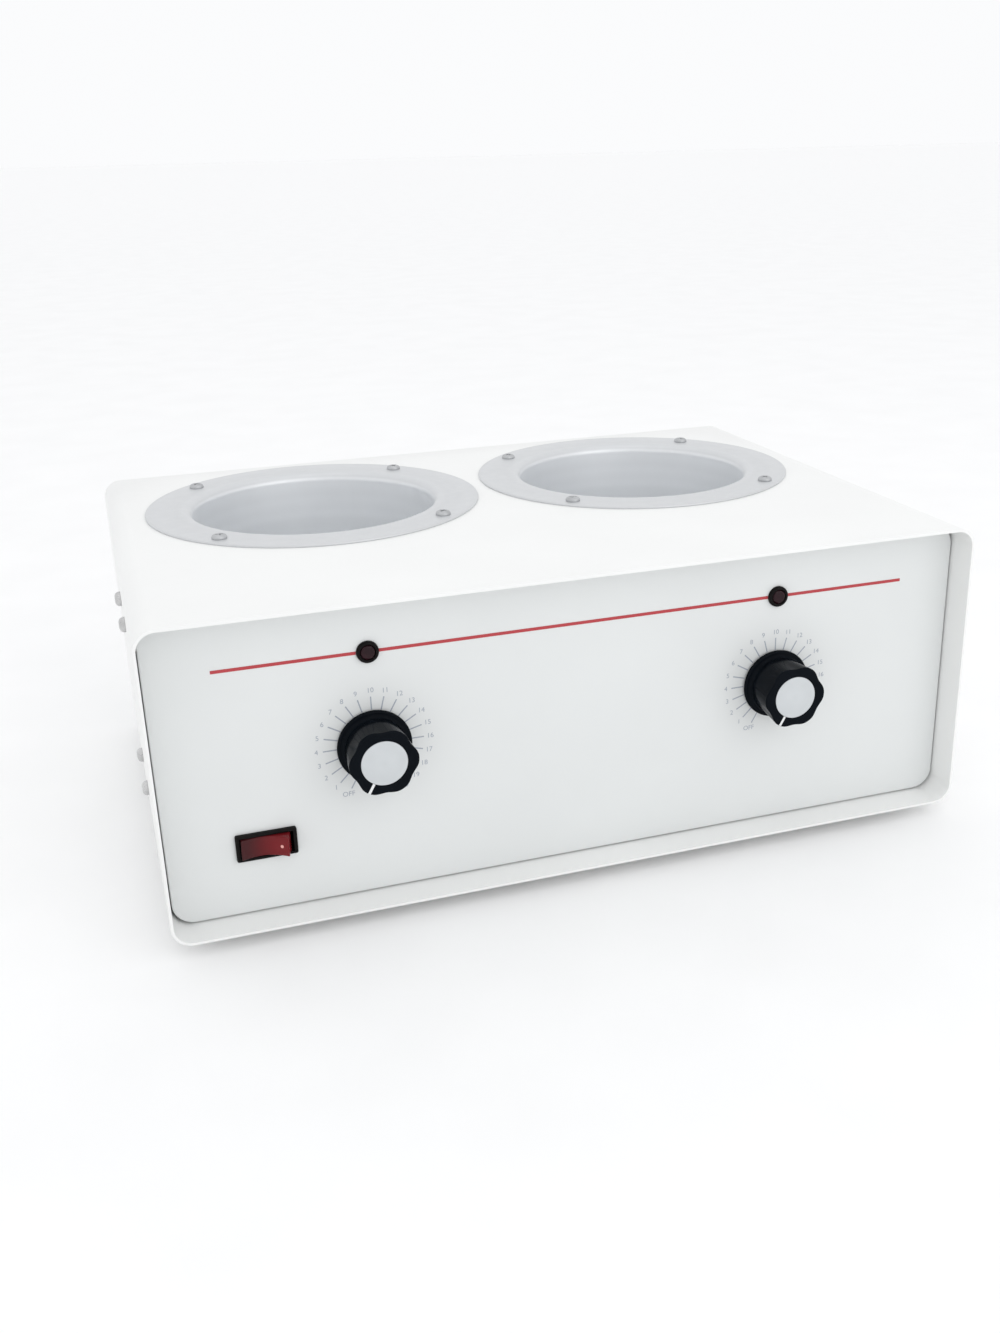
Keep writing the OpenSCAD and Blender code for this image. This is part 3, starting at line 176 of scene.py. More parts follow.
class Finish:
    """A material in the making, with the place on the object as its first node"""

    def __init__(self, name, colour, roughness, metallic=0.0, **more):
        self.material = bpy.data.materials.new(name)
        self.material.use_nodes = True
        self.tree = self.material.node_tree
        self.shader = self.tree.nodes["Principled BSDF"]
        self.place = self.add("ShaderNodeTexCoord").outputs["Object"]
        self.colour = colour
        self.set("Base Color", (*colour, 1))
        self.set("Roughness", roughness)
        self.set("Metallic", metallic)
        for socket, value in more.items():
            self.set(socket.replace("_", " "), value)

    def add(self, kind, **settings):
        node = self.tree.nodes.new(kind)
        for key, value in settings.items():
            setattr(node, key, value)
        return node

    def join(self, source, target):
        self.tree.links.new(source, target)

    def set(self, socket, value):
        self.shader.inputs[socket].default_value = value

    def mapped(self, centre=(0, 0, 0), stretch=(1, 1, 1)):
        """The place, counted from a centre and stretched"""
        node = self.add("ShaderNodeMapping", vector_type="POINT")
        node.inputs["Location"].default_value = [-c * s for c, s in zip(centre, stretch)]
        node.inputs["Scale"].default_value = stretch
        self.join(self.place, node.inputs["Vector"])
        return node.outputs["Vector"]

    def noise(self, size, detail=3.0, vector=None):
        """Soft random grain, with spots of about the given size"""
        node = self.add("ShaderNodeTexNoise")
        node.inputs["Scale"].default_value = 1 / size
        node.inputs["Detail"].default_value = detail
        self.join(vector or self.place, node.inputs["Vector"])
        return node.outputs["Fac"]

    def round_axis(self, centre, axis):
        """The distance from an axis, and the place along it"""
        apart = self.add("ShaderNodeSeparateXYZ")
        self.join(self.mapped(centre), apart.inputs["Vector"])
        across = [c for c in "XYZ" if c != axis]
        flat = self.add("ShaderNodeCombineXYZ")
        for socket, c in zip("XY", across):
            self.join(apart.outputs[c], flat.inputs[socket])
        length = self.add("ShaderNodeVectorMath", operation="LENGTH")
        self.join(flat.outputs["Vector"], length.inputs[0])
        return length.outputs["Value"], apart.outputs[axis]

    def rings(self, centre, axis, size, detail=2.0):
        """Grain that runs in circles round an axis, as a lathe leaves it"""
        out, along = self.round_axis(centre, axis)
        rings = self.add("ShaderNodeCombineXYZ")
        self.join(out, rings.inputs["X"])
        self.join(along, rings.inputs["Y"])
        return self.noise(size, detail, rings.outputs["Vector"])

    def between(self, value, start, end):
        """0 below the start, 1 above the end and a slope from one to the other"""
        node = self.add("ShaderNodeMapRange", interpolation_type="SMOOTHSTEP")
        node.inputs["From Min"].default_value = start
        node.inputs["From Max"].default_value = end
        self.join(value, node.inputs["Value"])
        return node.outputs["Result"]

    def darken(self, fac, share):
        """Painted shade: the base colour as it is, multiplied by a share where the mask is 1"""
        node = self.add("ShaderNodeMix", data_type="RGBA", blend_type="MULTIPLY")
        node.inputs["B"].default_value = (share, share, share, 1)
        colour = self.shader.inputs["Base Color"].links[0].from_socket
        self.join(fac, node.inputs["Factor"])
        self.join(colour, node.inputs["A"])
        self.join(node.outputs["Result"], self.shader.inputs["Base Color"])

    def vary(self, socket, fac, low, high, start=0.3, end=0.7):
        """A socket's number, led by grain between two values"""
        node = self.add("ShaderNodeMapRange")
        for name, value in (("From Min", start), ("From Max", end), ("To Min", low), ("To Max", high)):
            node.inputs[name].default_value = value
        self.join(fac, node.inputs["Value"])
        self.join(node.outputs["Result"], self.shader.inputs[socket])

    def tint(self, fac, low, high, start=0.3, end=0.7):
        """The base colour, led by grain between two colours"""
        node = self.add("ShaderNodeValToRGB")
        for element, colour, place in zip(node.color_ramp.elements, (low, high), (start, end)):
            element.color = (*colour, 1)
            element.position = place
        self.join(fac, node.inputs["Fac"])
        self.join(node.outputs["Color"], self.shader.inputs["Base Color"])

    def bump(self, *grains):
        """Relief from pairs of grain and height, the finest last"""
        below = None
        for fac, height in grains:
            node = self.add("ShaderNodeBump")
            node.inputs["Strength"].default_value = 1
            node.inputs["Distance"].default_value = height
            self.join(fac, node.inputs["Height"])
            if below:
                self.join(below, node.inputs["Normal"])
            below = node.outputs["Normal"]
        self.join(below, self.shader.inputs["Normal"])
        return self.material


def shade(colour, share):
    """A colour made lighter or darker"""
    return tuple(min(1, c * share) for c in colour)


def powder_coat(name, colour, roughness):
    """Baked powder paint: a slight orange peel, and a colour that is almost even"""
    cloud, patch = 60 * MM, 2.5 * MM
    peel, peel_depth, grit, grit_depth = 1.3 * MM, 0.012 * MM, 0.25 * MM, 0.002 * MM
    coat = Finish(name, colour, roughness, Coat_Weight=0.12, Coat_Roughness=0.25)
    coat.tint(coat.noise(cloud, 2), shade(colour, 0.985), shade(colour, 1.01))
    coat.vary("Roughness", coat.noise(patch), roughness - 0.04, roughness + 0.05)
    return coat.bump((coat.noise(peel, 1), peel_depth), (coat.noise(grit, 2), grit_depth))


def spun_metal(name, colour, roughness, centre, axis, ring=0.35 * MM, metallic=1.0, rim=None):
    """Metal turned or spun about an axis: fine rings, a soft satin gloss and, if asked, a rim darkened by
    painted shade
    """
    broad_ring, broad_depth, fine_depth, patch = 9 * MM, 0.008 * MM, 0.004 * MM, 5 * MM
    metal = Finish(name, colour, roughness, metallic)
    fine = metal.rings(centre, axis, ring)
    broad = metal.rings(centre, axis, broad_ring, 1)
    metal.tint(broad, shade(colour, 0.95), shade(colour, 1.03))
    # Painted shade: darker from the well's edge outward, over the lip and the flange
    if rim:
        start, end, share = rim
        metal.darken(metal.between(metal.round_axis(centre, axis)[0], start, end), share)
    metal.vary("Roughness", metal.noise(patch), roughness - 0.05, roughness + 0.06)
    return metal.bump((broad, broad_depth), (fine, fine_depth))


def plated_metal(name, colour, roughness, grain=1.5 * MM):
    """Plated or rolled metal with faint blotches"""
    blotch, fine, fine_depth = 3 * grain, grain / 4, 0.004 * MM
    metal = Finish(name, colour, roughness, 1.0)
    metal.tint(metal.noise(blotch), shade(colour, 0.9), shade(colour, 1.06))
    metal.vary("Roughness", metal.noise(grain), roughness - 0.07, roughness + 0.1)
    return metal.bump((metal.noise(fine, 2), fine_depth))


def moulded(name, colour, roughness, grain=0.3 * MM, depth=0.006 * MM, ior=1.45):
    """Moulded plastic or rubber with a fine texture"""
    cloud, patch = 8 * MM, 2 * MM
    plastic = Finish(name, colour, roughness, IOR=ior)
    plastic.tint(plastic.noise(cloud), shade(colour, 0.88), shade(colour, 1.1))
    plastic.vary("Roughness", plastic.noise(patch), roughness - 0.04, roughness + 0.05)
    return plastic.bump((plastic.noise(grain, 2), depth))


def woven(name, colour, pitch):
    """A woven sleeve or wrap: threads that cross, over a soft colour"""
    dull, bands_per_pitch, thread_depth = 0.9, 6, 0.08 * MM
    cloth = Finish(name, colour, dull)
    waves = []
    for direction in ("X", "Z"):
        wave = cloth.add("ShaderNodeTexWave", bands_direction=direction)
        wave.inputs["Scale"].default_value = 1 / pitch / bands_per_pitch
        wave.inputs["Distortion"].default_value = 0.6
        cloth.join(cloth.place, wave.inputs["Vector"])
        waves.append(wave.outputs["Fac"])
    cloth.tint(cloth.noise(2 * pitch), shade(colour, 0.85), shade(colour, 1.05))
    return cloth.bump(*((wave, thread_depth) for wave in waves))


def printed(name, colour, roughness):
    """Screen-printed ink, with a faint grain"""
    speckle, grain, depth = 0.5 * MM, 0.2 * MM, 0.002 * MM
    ink = Finish(name, colour, roughness)
    ink.tint(ink.noise(speckle), shade(colour, 0.94), shade(colour, 1.04))
    return ink.bump((ink.noise(grain), depth))


def lamp_glass(name, deep, bright, roughness, painted_glow_centre=None):
    """Dark red moulded plastic that lets a little light through; given a centre, it carries painted light
    and shade: redder round the centre, deeper red away from it
    """
    glow_fade_start, glow_fade_end, cloud, ripple, ripple_depth = 1 * MM, 15 * MM, 6 * MM, 1.2 * MM, 0.004 * MM
    glass = Finish(name, bright, roughness, IOR=1.25, Coat_Weight=0.1, Coat_Roughness=0.05,
                   Transmission_Weight=0.1)
    # Painted light and shade: lighter red near the centre, deeper red away from it
    if painted_glow_centre:
        apart = glass.round_axis(painted_glow_centre, "Y")[0]
        glass.tint(glass.between(apart, glow_fade_start, glow_fade_end), bright, deep, 0, 1)
    else:
        glass.tint(glass.noise(cloud), deep, bright)
    return glass.bump((glass.noise(ripple, 1), ripple_depth))


studio_floor = powder_coat("pale_floor", (0.985, 0.985, 0.985), 0.6)
case_white = powder_coat("case_white_coat", (0.895, 0.90, 0.89), 0.40)
# The panels' white is darker than the case's: partly the panels' own cooler paint, partly painted shade for
# their upright faces
panel_white_with_painted_shade = powder_coat("panel_cool_white_painted_shade_coat", (0.765, 0.783, 0.780), 0.40)
# The pots carry painted shade on their lip and flange, from the well's edge outward
pot_spun = {
    side: spun_metal(f"{side}_pot_satin_aluminium", (0.88, 0.895, 0.91), 0.42, span(f"{side}_pot")[2], "Z",
                     metallic=0.7, rim=(well_r - 0.1 * MM, well_r + 0.2 * lip_r, 0.78))
    for side in ("left", "right")
}
disc_spun = {
    side: spun_metal(f"{side}_cap_spun_disc", (0.64, 0.665, 0.68), 0.45, place, "Y", 0.12 * MM)
    for side, place in dial_places.items()
}
head_steel = plated_metal("nickel_screw", (0.60, 0.60, 0.60), 0.30)
flange_steel = plated_metal("flange_screw", (0.53, 0.54, 0.55), 0.42)
dark_steel = plated_metal("dark_screw", (0.20, 0.20, 0.21), 0.40)
zinc = plated_metal("zinc_plate", (0.66, 0.67, 0.69), 0.38, 6 * MM)
brass = plated_metal("tinned_brass", (0.78, 0.68, 0.46), 0.28)
turned_steel = plated_metal("turned_shaft", (0.70, 0.70, 0.70), 0.25)
knob_black = moulded("knob_gloss_black", (0.0045, 0.0062, 0.0088), 0.17, 1.6 * MM, 0.003 * MM, ior=1.11)
case_black = moulded("fine_black_moulding", (0.008, 0.007, 0.007), 0.38, ior=1.16)
rubber_black = moulded("foot_rubber", (0.028, 0.028, 0.030), 0.75, 0.5 * MM, 0.02 * MM)
pointer_white = printed("pointer_white", (0.78, 0.79, 0.79), 0.35)
dot_pink = printed("rocker_dot_pale_pink", (0.86, 0.42, 0.38), 0.4)
stripe_red = printed("stripe_red_ink", (0.48, 0.042, 0.052), 0.42)
scale_grey = printed("scale_grey_ink", (0.40, 0.43, 0.49), 0.5)
lens_red = lamp_glass("lamp_dark_red", (0.016, 0.005, 0.008), (0.030, 0.008, 0.012), 0.12)
# The rocker: painted light towards its raised end, painted shade towards its lowered end
rocker_red = lamp_glass("rocker_dark_red", (0.060, 0.010, 0.012), (0.20, 0.011, 0.015), 0.2,
                        switch + Vector((6 * MM, 0, 0)))
board_green = moulded("board_green", (0.03, 0.16, 0.07), 0.35, 1.5 * MM, 0.03 * MM)
block_green = moulded("block_green", (0.10, 0.36, 0.12), 0.45)
coil_tape = moulded("coil_tape", (0.70, 0.46, 0.06), 0.5, 0.8 * MM, 0.03 * MM)
blue_case = moulded("blue_case", (0.04, 0.10, 0.34), 0.35)
brown_phenolic = moulded("brown_phenolic", (0.16, 0.07, 0.03), 0.5, 1 * MM, 0.02 * MM)
brown_lead = moulded("lead_brown", (0.16, 0.08, 0.04), 0.5)
red_lead = moulded("lead_red", (0.40, 0.03, 0.03), 0.5)
glass_sleeve = woven("lead_glass_sleeve", (0.80, 0.78, 0.72), 0.4 * MM)
glass_wrap = woven("glass_wrap", (0.72, 0.68, 0.52), 1.2 * MM)
mica_steel = plated_metal("mica_band_steel", (0.52, 0.48, 0.42), 0.45, 4 * MM)


# Shapes

def move(shape, matrix):
    """A shape turned and placed as a whole"""
    bmesh.ops.transform(shape, matrix=matrix, verts=shape.verts)
    return shape


def joined(*shapes):
    """Several shapes as one"""
    whole = bmesh.new()
    for shape in shapes:
        mesh = bpy.data.meshes.new("part")
        shape.to_mesh(mesh)
        shape.free()
        whole.from_mesh(mesh)
        bpy.data.meshes.remove(mesh)
    return whole


def loose(shape):
    """A shape as an object of its own, for a cut"""
    mesh = bpy.data.meshes.new("loose")
    shape.to_mesh(mesh)
    shape.free()
    thing = bpy.data.objects.new("loose", mesh)
    bpy.context.scene.collection.objects.link(thing)
    return thing


def cut(shape, *tools):
    """A shape with others cut out of it, one after another"""
    for tool in tools:
        body, cutter = loose(shape), loose(tool)
        modifier = body.modifiers.new("cut", "BOOLEAN")
        modifier.operation = "DIFFERENCE"
        modifier.solver = "EXACT"
        modifier.object = cutter
        shape = bmesh.new()
        shape.from_object(body, bpy.context.evaluated_depsgraph_get())
        for thing in (body, cutter):
            mesh = thing.data
            bpy.data.objects.remove(thing)
            bpy.data.meshes.remove(mesh)
    return shape


def turned(profile, steps=96):
    """A solid turned about Z. The profile is (radius, height) or (radius, height, rounding)"""
    shape = bmesh.new()
    corners = [shape.verts.new((point[0], 0, point[1])) for point in profile]
    for a, b in zip(corners, corners[1:]):
        shape.edges.new((a, b))
    if profile[0][0] > TINY:
        shape.edges.new((corners[-1], corners[0]))
    for corner, point in zip(corners, profile):
        if len(point) > 2:
            bmesh.ops.bevel(shape, geom=[corner], offset=point[2], offset_type="OFFSET", segments=8,
                            profile=0.5, affect="VERTICES", material=-1)
    bmesh.ops.spin(shape, geom=shape.verts[:] + shape.edges[:], axis=(0, 0, 1), cent=(0, 0, 0), steps=steps,
                   angle=2 * math.pi, use_merge=True)
    bmesh.ops.remove_doubles(shape, verts=shape.verts, dist=TINY)
    bmesh.ops.recalc_face_normals(shape, faces=shape.faces)
    return shape


def rounded_face(width, height, corner):
    """A flat face with round corners about the origin"""
    shape = bmesh.new()
    bmesh.ops.create_grid(shape, x_segments=1, y_segments=1, size=0.5)
    bmesh.ops.scale(shape, vec=(width, height, 1), verts=shape.verts)
    bmesh.ops.bevel(shape, geom=shape.verts[:], offset=corner, offset_type="OFFSET", segments=10,
                    profile=0.5, affect="VERTICES", material=-1)
    return shape


def thicken(shape, low, high):
    """A flat shape at Z = 0 made a solid from low to high"""
    bmesh.ops.translate(shape, vec=(0, 0, low), verts=shape.verts)
    grown = bmesh.ops.extrude_face_region(shape, geom=shape.faces[:])["geom"]
    lid = [v for v in grown if isinstance(v, bmesh.types.BMVert)]
    bmesh.ops.translate(shape, vec=(0, 0, high - low), verts=lid)
    bmesh.ops.recalc_face_normals(shape, faces=shape.faces)
    return shape


def round_edges(shape, size, chosen=lambda edge: True, segments=3):
    """A shape with the chosen sharp edges rounded"""
    sharp = 0.5
    edges = [e for e in shape.edges if len(e.link_faces) == 2 and chosen(e) and e.calc_face_angle() > sharp]
    bmesh.ops.bevel(shape, geom=edges, offset=size, offset_type="OFFSET", segments=segments, profile=0.5,
                    affect="EDGES", material=-1, clamp_overlap=True)
    return shape


def at_height(*heights):
    """Whether an edge lies flat at one of the heights"""
    return lambda edge: any(all(abs(v.co.z - z) < TINY for v in edge.verts) for z in heights)


def slab(width, height, low, high, corner, edge):
    """A plate with round corners and a rounded front rim"""
    return round_edges(thicken(rounded_face(width, height, corner), low, high), edge, at_height(high))


def block(width, height, low, high, edge=0.0):
    """A square-cornered bar about the Z axis, its edges rounded if asked"""
    shape = bmesh.new()
    bmesh.ops.create_cube(shape, size=1)
    bmesh.ops.scale(shape, vec=(width, height, high - low), verts=shape.verts)
    bmesh.ops.translate(shape, vec=(0, 0, (low + high) / 2), verts=shape.verts)
    return round_edges(shape, edge) if edge else shape


def rod(radius, low, high, steps=48):
    """A round bar along Z"""
    return turned([(0, low), (radius, low), (radius, high), (0, high)], steps)


def at(x, y=0.0, z=0.0):
    """A place to move a shape to"""
    return Matrix.Translation((x, y, z))


def on_front(x, z, turn=0.0):
    """The place of what stands on the front panel, drawn with X right, Y up and Z to the viewer"""
    stand = Matrix.Rotation(math.pi / 2, 4, "X") @ Matrix.Rotation(turn, 4, "Z")
    return at(x, front_face, z) @ stand


def on_rear(x, z):
    """The same for the rear panel, seen from behind"""
    stand = Matrix.Rotation(math.pi, 4, "Z") @ Matrix.Rotation(math.pi / 2, 4, "X")
    return at(x, rear_face, z) @ stand


def make_piece(name, shape, material, body="case", stands_for=(), crease=40):
    """A finished piece that rides on a body, in place of the CAD nodes that it stands for"""
    mesh = bpy.data.meshes.new(name)
    shape.to_mesh(mesh)
    shape.free()
    mesh.materials.append(material)
    for face in mesh.polygons:
        face.use_smooth = True
    mesh.set_sharp_from_angle(angle=math.radians(crease))
    thing = bpy.data.objects.new(name, mesh)
    bpy.context.scene.collection.objects.link(thing)
    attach(thing, body)
    if stands_for:
        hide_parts(*stands_for)
    return thing


# Case and panels

def add_sleeve():
    """The case: a bent sheet with soft corners and rims, holes under the pots, and vents below"""
    rim_round = 0.35 * MM
    vent_w, vent_l, vent_pitch, vents = 3 * MM, 37 * MM, 9 * MM, 7
    width, depth, height = case_high - case_low
    stand = at(case_mid.x, case_high.y, case_mid.z) @ Matrix.Rotation(math.pi / 2, 4, "X")
    outer = thicken(rounded_face(width, height, case_corner), 0, depth)
    round_edges(outer, rim_round, at_height(0, depth))
    inside = rounded_face(width - 2 * sheet, height - 2 * sheet, case_corner - sheet)
    tools = [move(thicken(inside, -sheet, depth + sheet), stand)]
    for side in ("left", "right"):
        middle = span(f"{side}_pot")[2]
        hole = rod(case_hole_r, case_top - 4 * sheet, case_top + sheet, 128)
        tools.append(move(hole, at(middle.x, middle.y)))
        for i in range(vents):
            slot = rounded_face(vent_w, vent_l, vent_w / 2 - TINY)
            vent = thicken(slot, case_low.z - sheet, case_low.z + 3 * sheet)
            tools.append(move(vent, at(middle.x + (i - (vents - 1) / 2) * vent_pitch, middle.y)))
    make_piece("case", cut(move(outer, stand), *tools), case_white,
               stands_for=["case_sleeve"], crease=30)


def pan(width, height):
    """A shallow pan of sheet: its face at Z = 0 and its lip behind"""
    bend = 0.7 * MM
    outer = thicken(rounded_face(width, height, panel_corner), -panel_lip, 0)
    round_edges(outer, bend, at_height(0), 5)
    room = rounded_face(width - 2 * sheet, height - 2 * sheet, panel_corner - sheet)
    return cut(outer, thicken(room, -2 * panel_lip, -sheet))


def add_panels():
    """The two panels, with the holes for what they carry"""
    bushing_hole_r, lamp_hole_r, behind = 5 * MM, 4.1 * MM, 5 * MM
    switch_hole, inlet_hole = (23.1 * MM, 10.8 * MM), (28.1 * MM, 20.4 * MM)
    width, height = panel_high.x - panel_low.x, panel_high.z - panel_low.z
    holes = []
    for place in dial_places.values():
        holes.append(move(rod(bushing_hole_r, -behind, behind), at(place.x, place.z - panel_mid.z)))
    for side in ("left", "right"):
        lamp = span(f"{side}_light")[2]
        holes.append(move(rod(lamp_hole_r, -behind, behind), at(lamp.x, lamp.z - panel_mid.z)))
    holes.append(move(block(*switch_hole, -behind, behind), at(switch.x, switch.z - panel_mid.z)))
    front = move(cut(pan(width, height), *holes), on_front(0, panel_mid.z))
    make_piece("front_plate", front, panel_white_with_painted_shade, stands_for=["front_panel"], crease=30)

    hole = move(block(*inlet_hole, -behind, behind), at(-inlet.x, inlet.z - back_mid.z))
    rear = move(cut(pan(width, height), hole), on_rear(0, back_mid.z))
    make_piece("rear_plate", rear, panel_white_with_painted_shade, stands_for=["rear_panel"], crease=30)


# Screws

def screw(head_r, head_h, shank_r, shank_l):
    """A pan-head screw with a cross in its head, the head above Z = 0"""
    rim_round, crown_round = 0.15 * MM, 0.8 * head_h
    bar_l, bar_w, bar_low, bar_high = 1.2 * head_r, 0.3 * head_r, 0.35 * head_h, 1.2 * head_h
    taper = (0.55, 0.7, 1)
    head = turned([(0, -shank_l), (shank_r, -shank_l), (shank_r, 0), (head_r, 0, rim_round),
                   (head_r, head_h, crown_round), (0, head_h)], 48)
    bars = []
    for turn in (0, math.pi / 2):
        bar = block(bar_l, bar_w, bar_low, bar_high)
        bmesh.ops.scale(bar, vec=taper, verts=[v for v in bar.verts if v.co.z < head_h / 2])
        bars.append(move(bar, Matrix.Rotation(turn, 4, "Z")))
    return cut(head, *bars)


def add_screws(name, spots, one, material, node):
    """One screw, repeated at each spot, each tightened to a turn of its own"""
    first_turn, next_turn = 23, 37
    mesh = bpy.data.meshes.new("screw")
    one.to_mesh(mesh)
    one.free()
    whole = bmesh.new()
    for i, spot in enumerate(spots):
        copy = mesh.copy()
        copy.transform(spot @ Matrix.Rotation(math.radians(first_turn + next_turn * i), 4, "Z"))
        whole.from_mesh(copy)
        bpy.data.meshes.remove(copy)
    bpy.data.meshes.remove(mesh)
    make_piece(name, whole, material, stands_for=[node], crease=35)


def add_all_screws():
    """The screws that show: in the flanges, the side walls, the rear panel, the inlet and the feet"""
    flange_shank, side_shank, rear_shank = 9 * MM, 5.2 * MM, 14 * MM
    inlet_screw_r, inlet_shank, foot_screw_r, foot_shank = 1.5 * MM, 7.2 * MM, 2 * MM, 6.6 * MM
    spots = []
    for side in ("left", "right"):
        middle = span(f"{side}_pot")[2]
        for quarter in (45, 135, 225, 315):
            a = math.radians(quarter)
            spots.append(at(middle.x + pot_ring * math.cos(a), middle.y + pot_ring * math.sin(a), pot_top))
    one = screw(flange_head_r, flange_head_h, screw_r, flange_shank)
    add_screws("flange_screws", spots, one, flange_steel, "pot_screws")

    r = screw_head_r
    low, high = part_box("side_screws")
    spots = []
    for out in (-1, 1):
        for y in (low.y + r, high.y - r):
            for z in (low.z + r, high.z - r):
                spots.append(at(out * case_high.x, y, z) @ Matrix.Rotation(out * math.pi / 2, 4, "Y"))
    one = screw(r, screw_head_h, screw_r, side_shank)
    add_screws("wall_screws", spots, one, head_steel, "side_screws")

    low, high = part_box("rear_panel_screws")
    spots = [on_rear(x, z) for x in (low.x + r, high.x - r) for z in (low.z + r, high.z - r)]
    one = screw(r, screw_head_h, screw_r, rear_shank)
    add_screws("back_screws", spots, one, head_steel, "rear_panel_screws")

    low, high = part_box("inlet_screws")
    lift = at(0, 0, inlet_flange_t)
    spots = [on_rear(x, inlet.z) @ lift for x in (low.x + small_head_r, high.x - small_head_r)]
    one = screw(small_head_r, small_head_h, inlet_screw_r, inlet_shank)
    add_screws("inlet_fixings", spots, one, zinc, "inlet_screws")

    spots = [at(x, y, foot_seat) @ Matrix.Rotation(math.pi, 4, "X") for x, y in foot_spots]
    one = screw(foot_head_r, foot_head_h, foot_screw_r, foot_shank)
    add_screws("foot_fixings", spots, one, zinc, "foot_screws")


# Pots

def add_pots():
    """Two spun pots: a flat flange, a soft lip and a deep well"""
    rim_under, rim_over = 0.3 * MM, 0.5 * MM
    wall_r = well_r + pot_sheet
    base = pot_top - well_depth
    profile = [
        (0, base - pot_sheet), (wall_r, base - pot_sheet, well_base_r + pot_sheet),
        (wall_r, case_top, lip_r - pot_sheet), (flange_r, case_top, rim_under),
        (flange_r, pot_top, rim_over), (well_r, pot_top, lip_r), (well_r, base, well_base_r), (0, base),
    ]
    for side in ("left", "right"):
        middle = span(f"{side}_pot")[2]
        make_piece(f"{side}_spun_pot", move(turned(profile, 160), at(middle.x, middle.y)), pot_spun[side],
                   stands_for=[f"{side}_pot"])


# Dials

def knob_shape():
    """A skirted knob: a straight cone with six soft lobes, a recess for its cap, and room behind for
    the shaft, the bushing and its nut"""
    skirt_r, waist_r, lobe_depth, lobes = 15.1 * MM, 12.2 * MM, 1.2 * MM, 6
    low, skirt_top, grip_low = 1 * MM, 2.8 * MM, 13.5 * MM
    shaft_r, shaft_top = 3.2 * MM, 16.7 * MM
    bushing_r, bushing_top = 5.35 * MM, 6.6 * MM
    nut_r, nut_top = 8.6 * MM, 4.6 * MM
    skirt_round, skirt_rim_round, waist_round, face_round = 0.4 * MM, 0.8 * MM, 1.8 * MM, 0.7 * MM
    recess_r, recess_low, recess_round = cap_r + 0.15 * MM, knob_h - 0.6 * MM, 0.15 * MM
    shape = turned([
        (0, shaft_top), (shaft_r, shaft_top), (shaft_r, bushing_top), (bushing_r, bushing_top),
        (bushing_r, nut_top), (nut_r, nut_top), (nut_r, low), (skirt_r, low, skirt_round),
        (skirt_r, skirt_top, skirt_rim_round), (waist_r, skirt_top, waist_round),
        (grip_r, knob_h, face_round), (recess_r, knob_h, recess_round), (recess_r, recess_low),
        (0, recess_low),
    ], 144)
    lobes_in, lobes_low = cap_r + MM, skirt_top + MM
    for vert in shape.verts:
        radius = math.hypot(vert.co.x, vert.co.y)
        if radius > lobes_in and vert.co.z > lobes_low:
            rise = min(1, (vert.co.z - lobes_low) / (grip_low - lobes_low))
            angle = math.atan2(vert.co.y, vert.co.x) - math.pi / 2
            valley = (0.5 - 0.5 * math.cos(lobes * angle)) ** 1.4
            outer = min(1, (radius - lobes_in) / (2 * MM))
            shrink = 1 - lobe_depth * valley * rise * rise * (3 - 2 * rise) * outer / radius
            vert.co.x *= shrink
            vert.co.y *= shrink
    return shape


def cap_shape():
    """The silver disc that closes the knob's recess, a little below its face"""
    low, high, edge = knob_h - 0.6 * MM, knob_h - 0.08 * MM, 0.12 * MM
    return turned([(0, low), (cap_r, low), (cap_r, high, edge), (0, high)], 96)


def pointer_shape():
    """The white line from the cap to the knob's rim"""
    start, end, width = cap_r + 0.1 * MM, grip_r - 0.25 * MM, 1.15 * MM
    low, high, edge = knob_h - 0.5 * MM, knob_h + 0.01 * MM, 0.08 * MM
    return move(block(width, end - start, low, high, edge), at(0, (start + end) / 2))


def add_dials():
    """Knobs, caps and pointers, which turn, and the printed scales behind them"""
    for side, place in dial_places.items():
        body = f"{side}_dial"
        stand = on_front(place.x, place.z, pointer_turn)
        make_piece(f"{side}_skirted_knob", move(knob_shape(), stand), knob_black, body,
                   [f"{side}_knob"], crease=50)
        make_piece(f"{side}_cap_disc", move(cap_shape(), stand), disc_spun[side], body,
                   [f"{side}_knob_cap"])
        make_piece(f"{side}_pointer_line", move(pointer_shape(), stand), pointer_white, body,
                   [f"{side}_pointer"])
        make_piece(f"{side}_dial_scale", move(scale_shape(), on_front(place.x, place.z)), scale_grey)


def number_shape(text, size, thickness):
    """A flat number about the origin"""
    curve = bpy.data.curves.new("number", "FONT")
    curve.body = text
    curve.size = size
    curve.extrude = thickness / 2
    curve.align_x = "CENTER"
    curve.align_y = "CENTER"
    thing = bpy.data.objects.new("number", curve)
    bpy.context.scene.collection.objects.link(thing)
    mesh = bpy.data.meshes.new_from_object(thing)
    shape = bmesh.new()
    shape.from_mesh(mesh)
    bpy.data.objects.remove(thing)
    bpy.data.curves.remove(curve)
    bpy.data.meshes.remove(mesh)
    return shape


def scale_shape():
    """Ticks and numbers from OFF at the lower left to 20 at the lower right"""
    tick_in, tick_out, tick_w, print_t = 14.8 * MM, 20.4 * MM, 0.5 * MM, 0.04 * MM
    number_r, number_size, top_value, step = 23 * MM, 2.9 * MM, 20, math.radians(15)
    marks = []
    for value in range(top_value + 1):
        angle = (value - top_value / 2) * step
        tick = move(block(tick_w, tick_out - tick_in, 0, print_t), at(0, (tick_in + tick_out) / 2))
        marks.append(move(tick, Matrix.Rotation(-angle, 4, "Z")))
        number = number_shape(str(value) if value else "OFF", number_size, print_t)
        marks.append(move(number, at(number_r * math.sin(angle), number_r * math.cos(angle), print_t / 2)))
    return joined(*marks)


# Pilot lights and switch

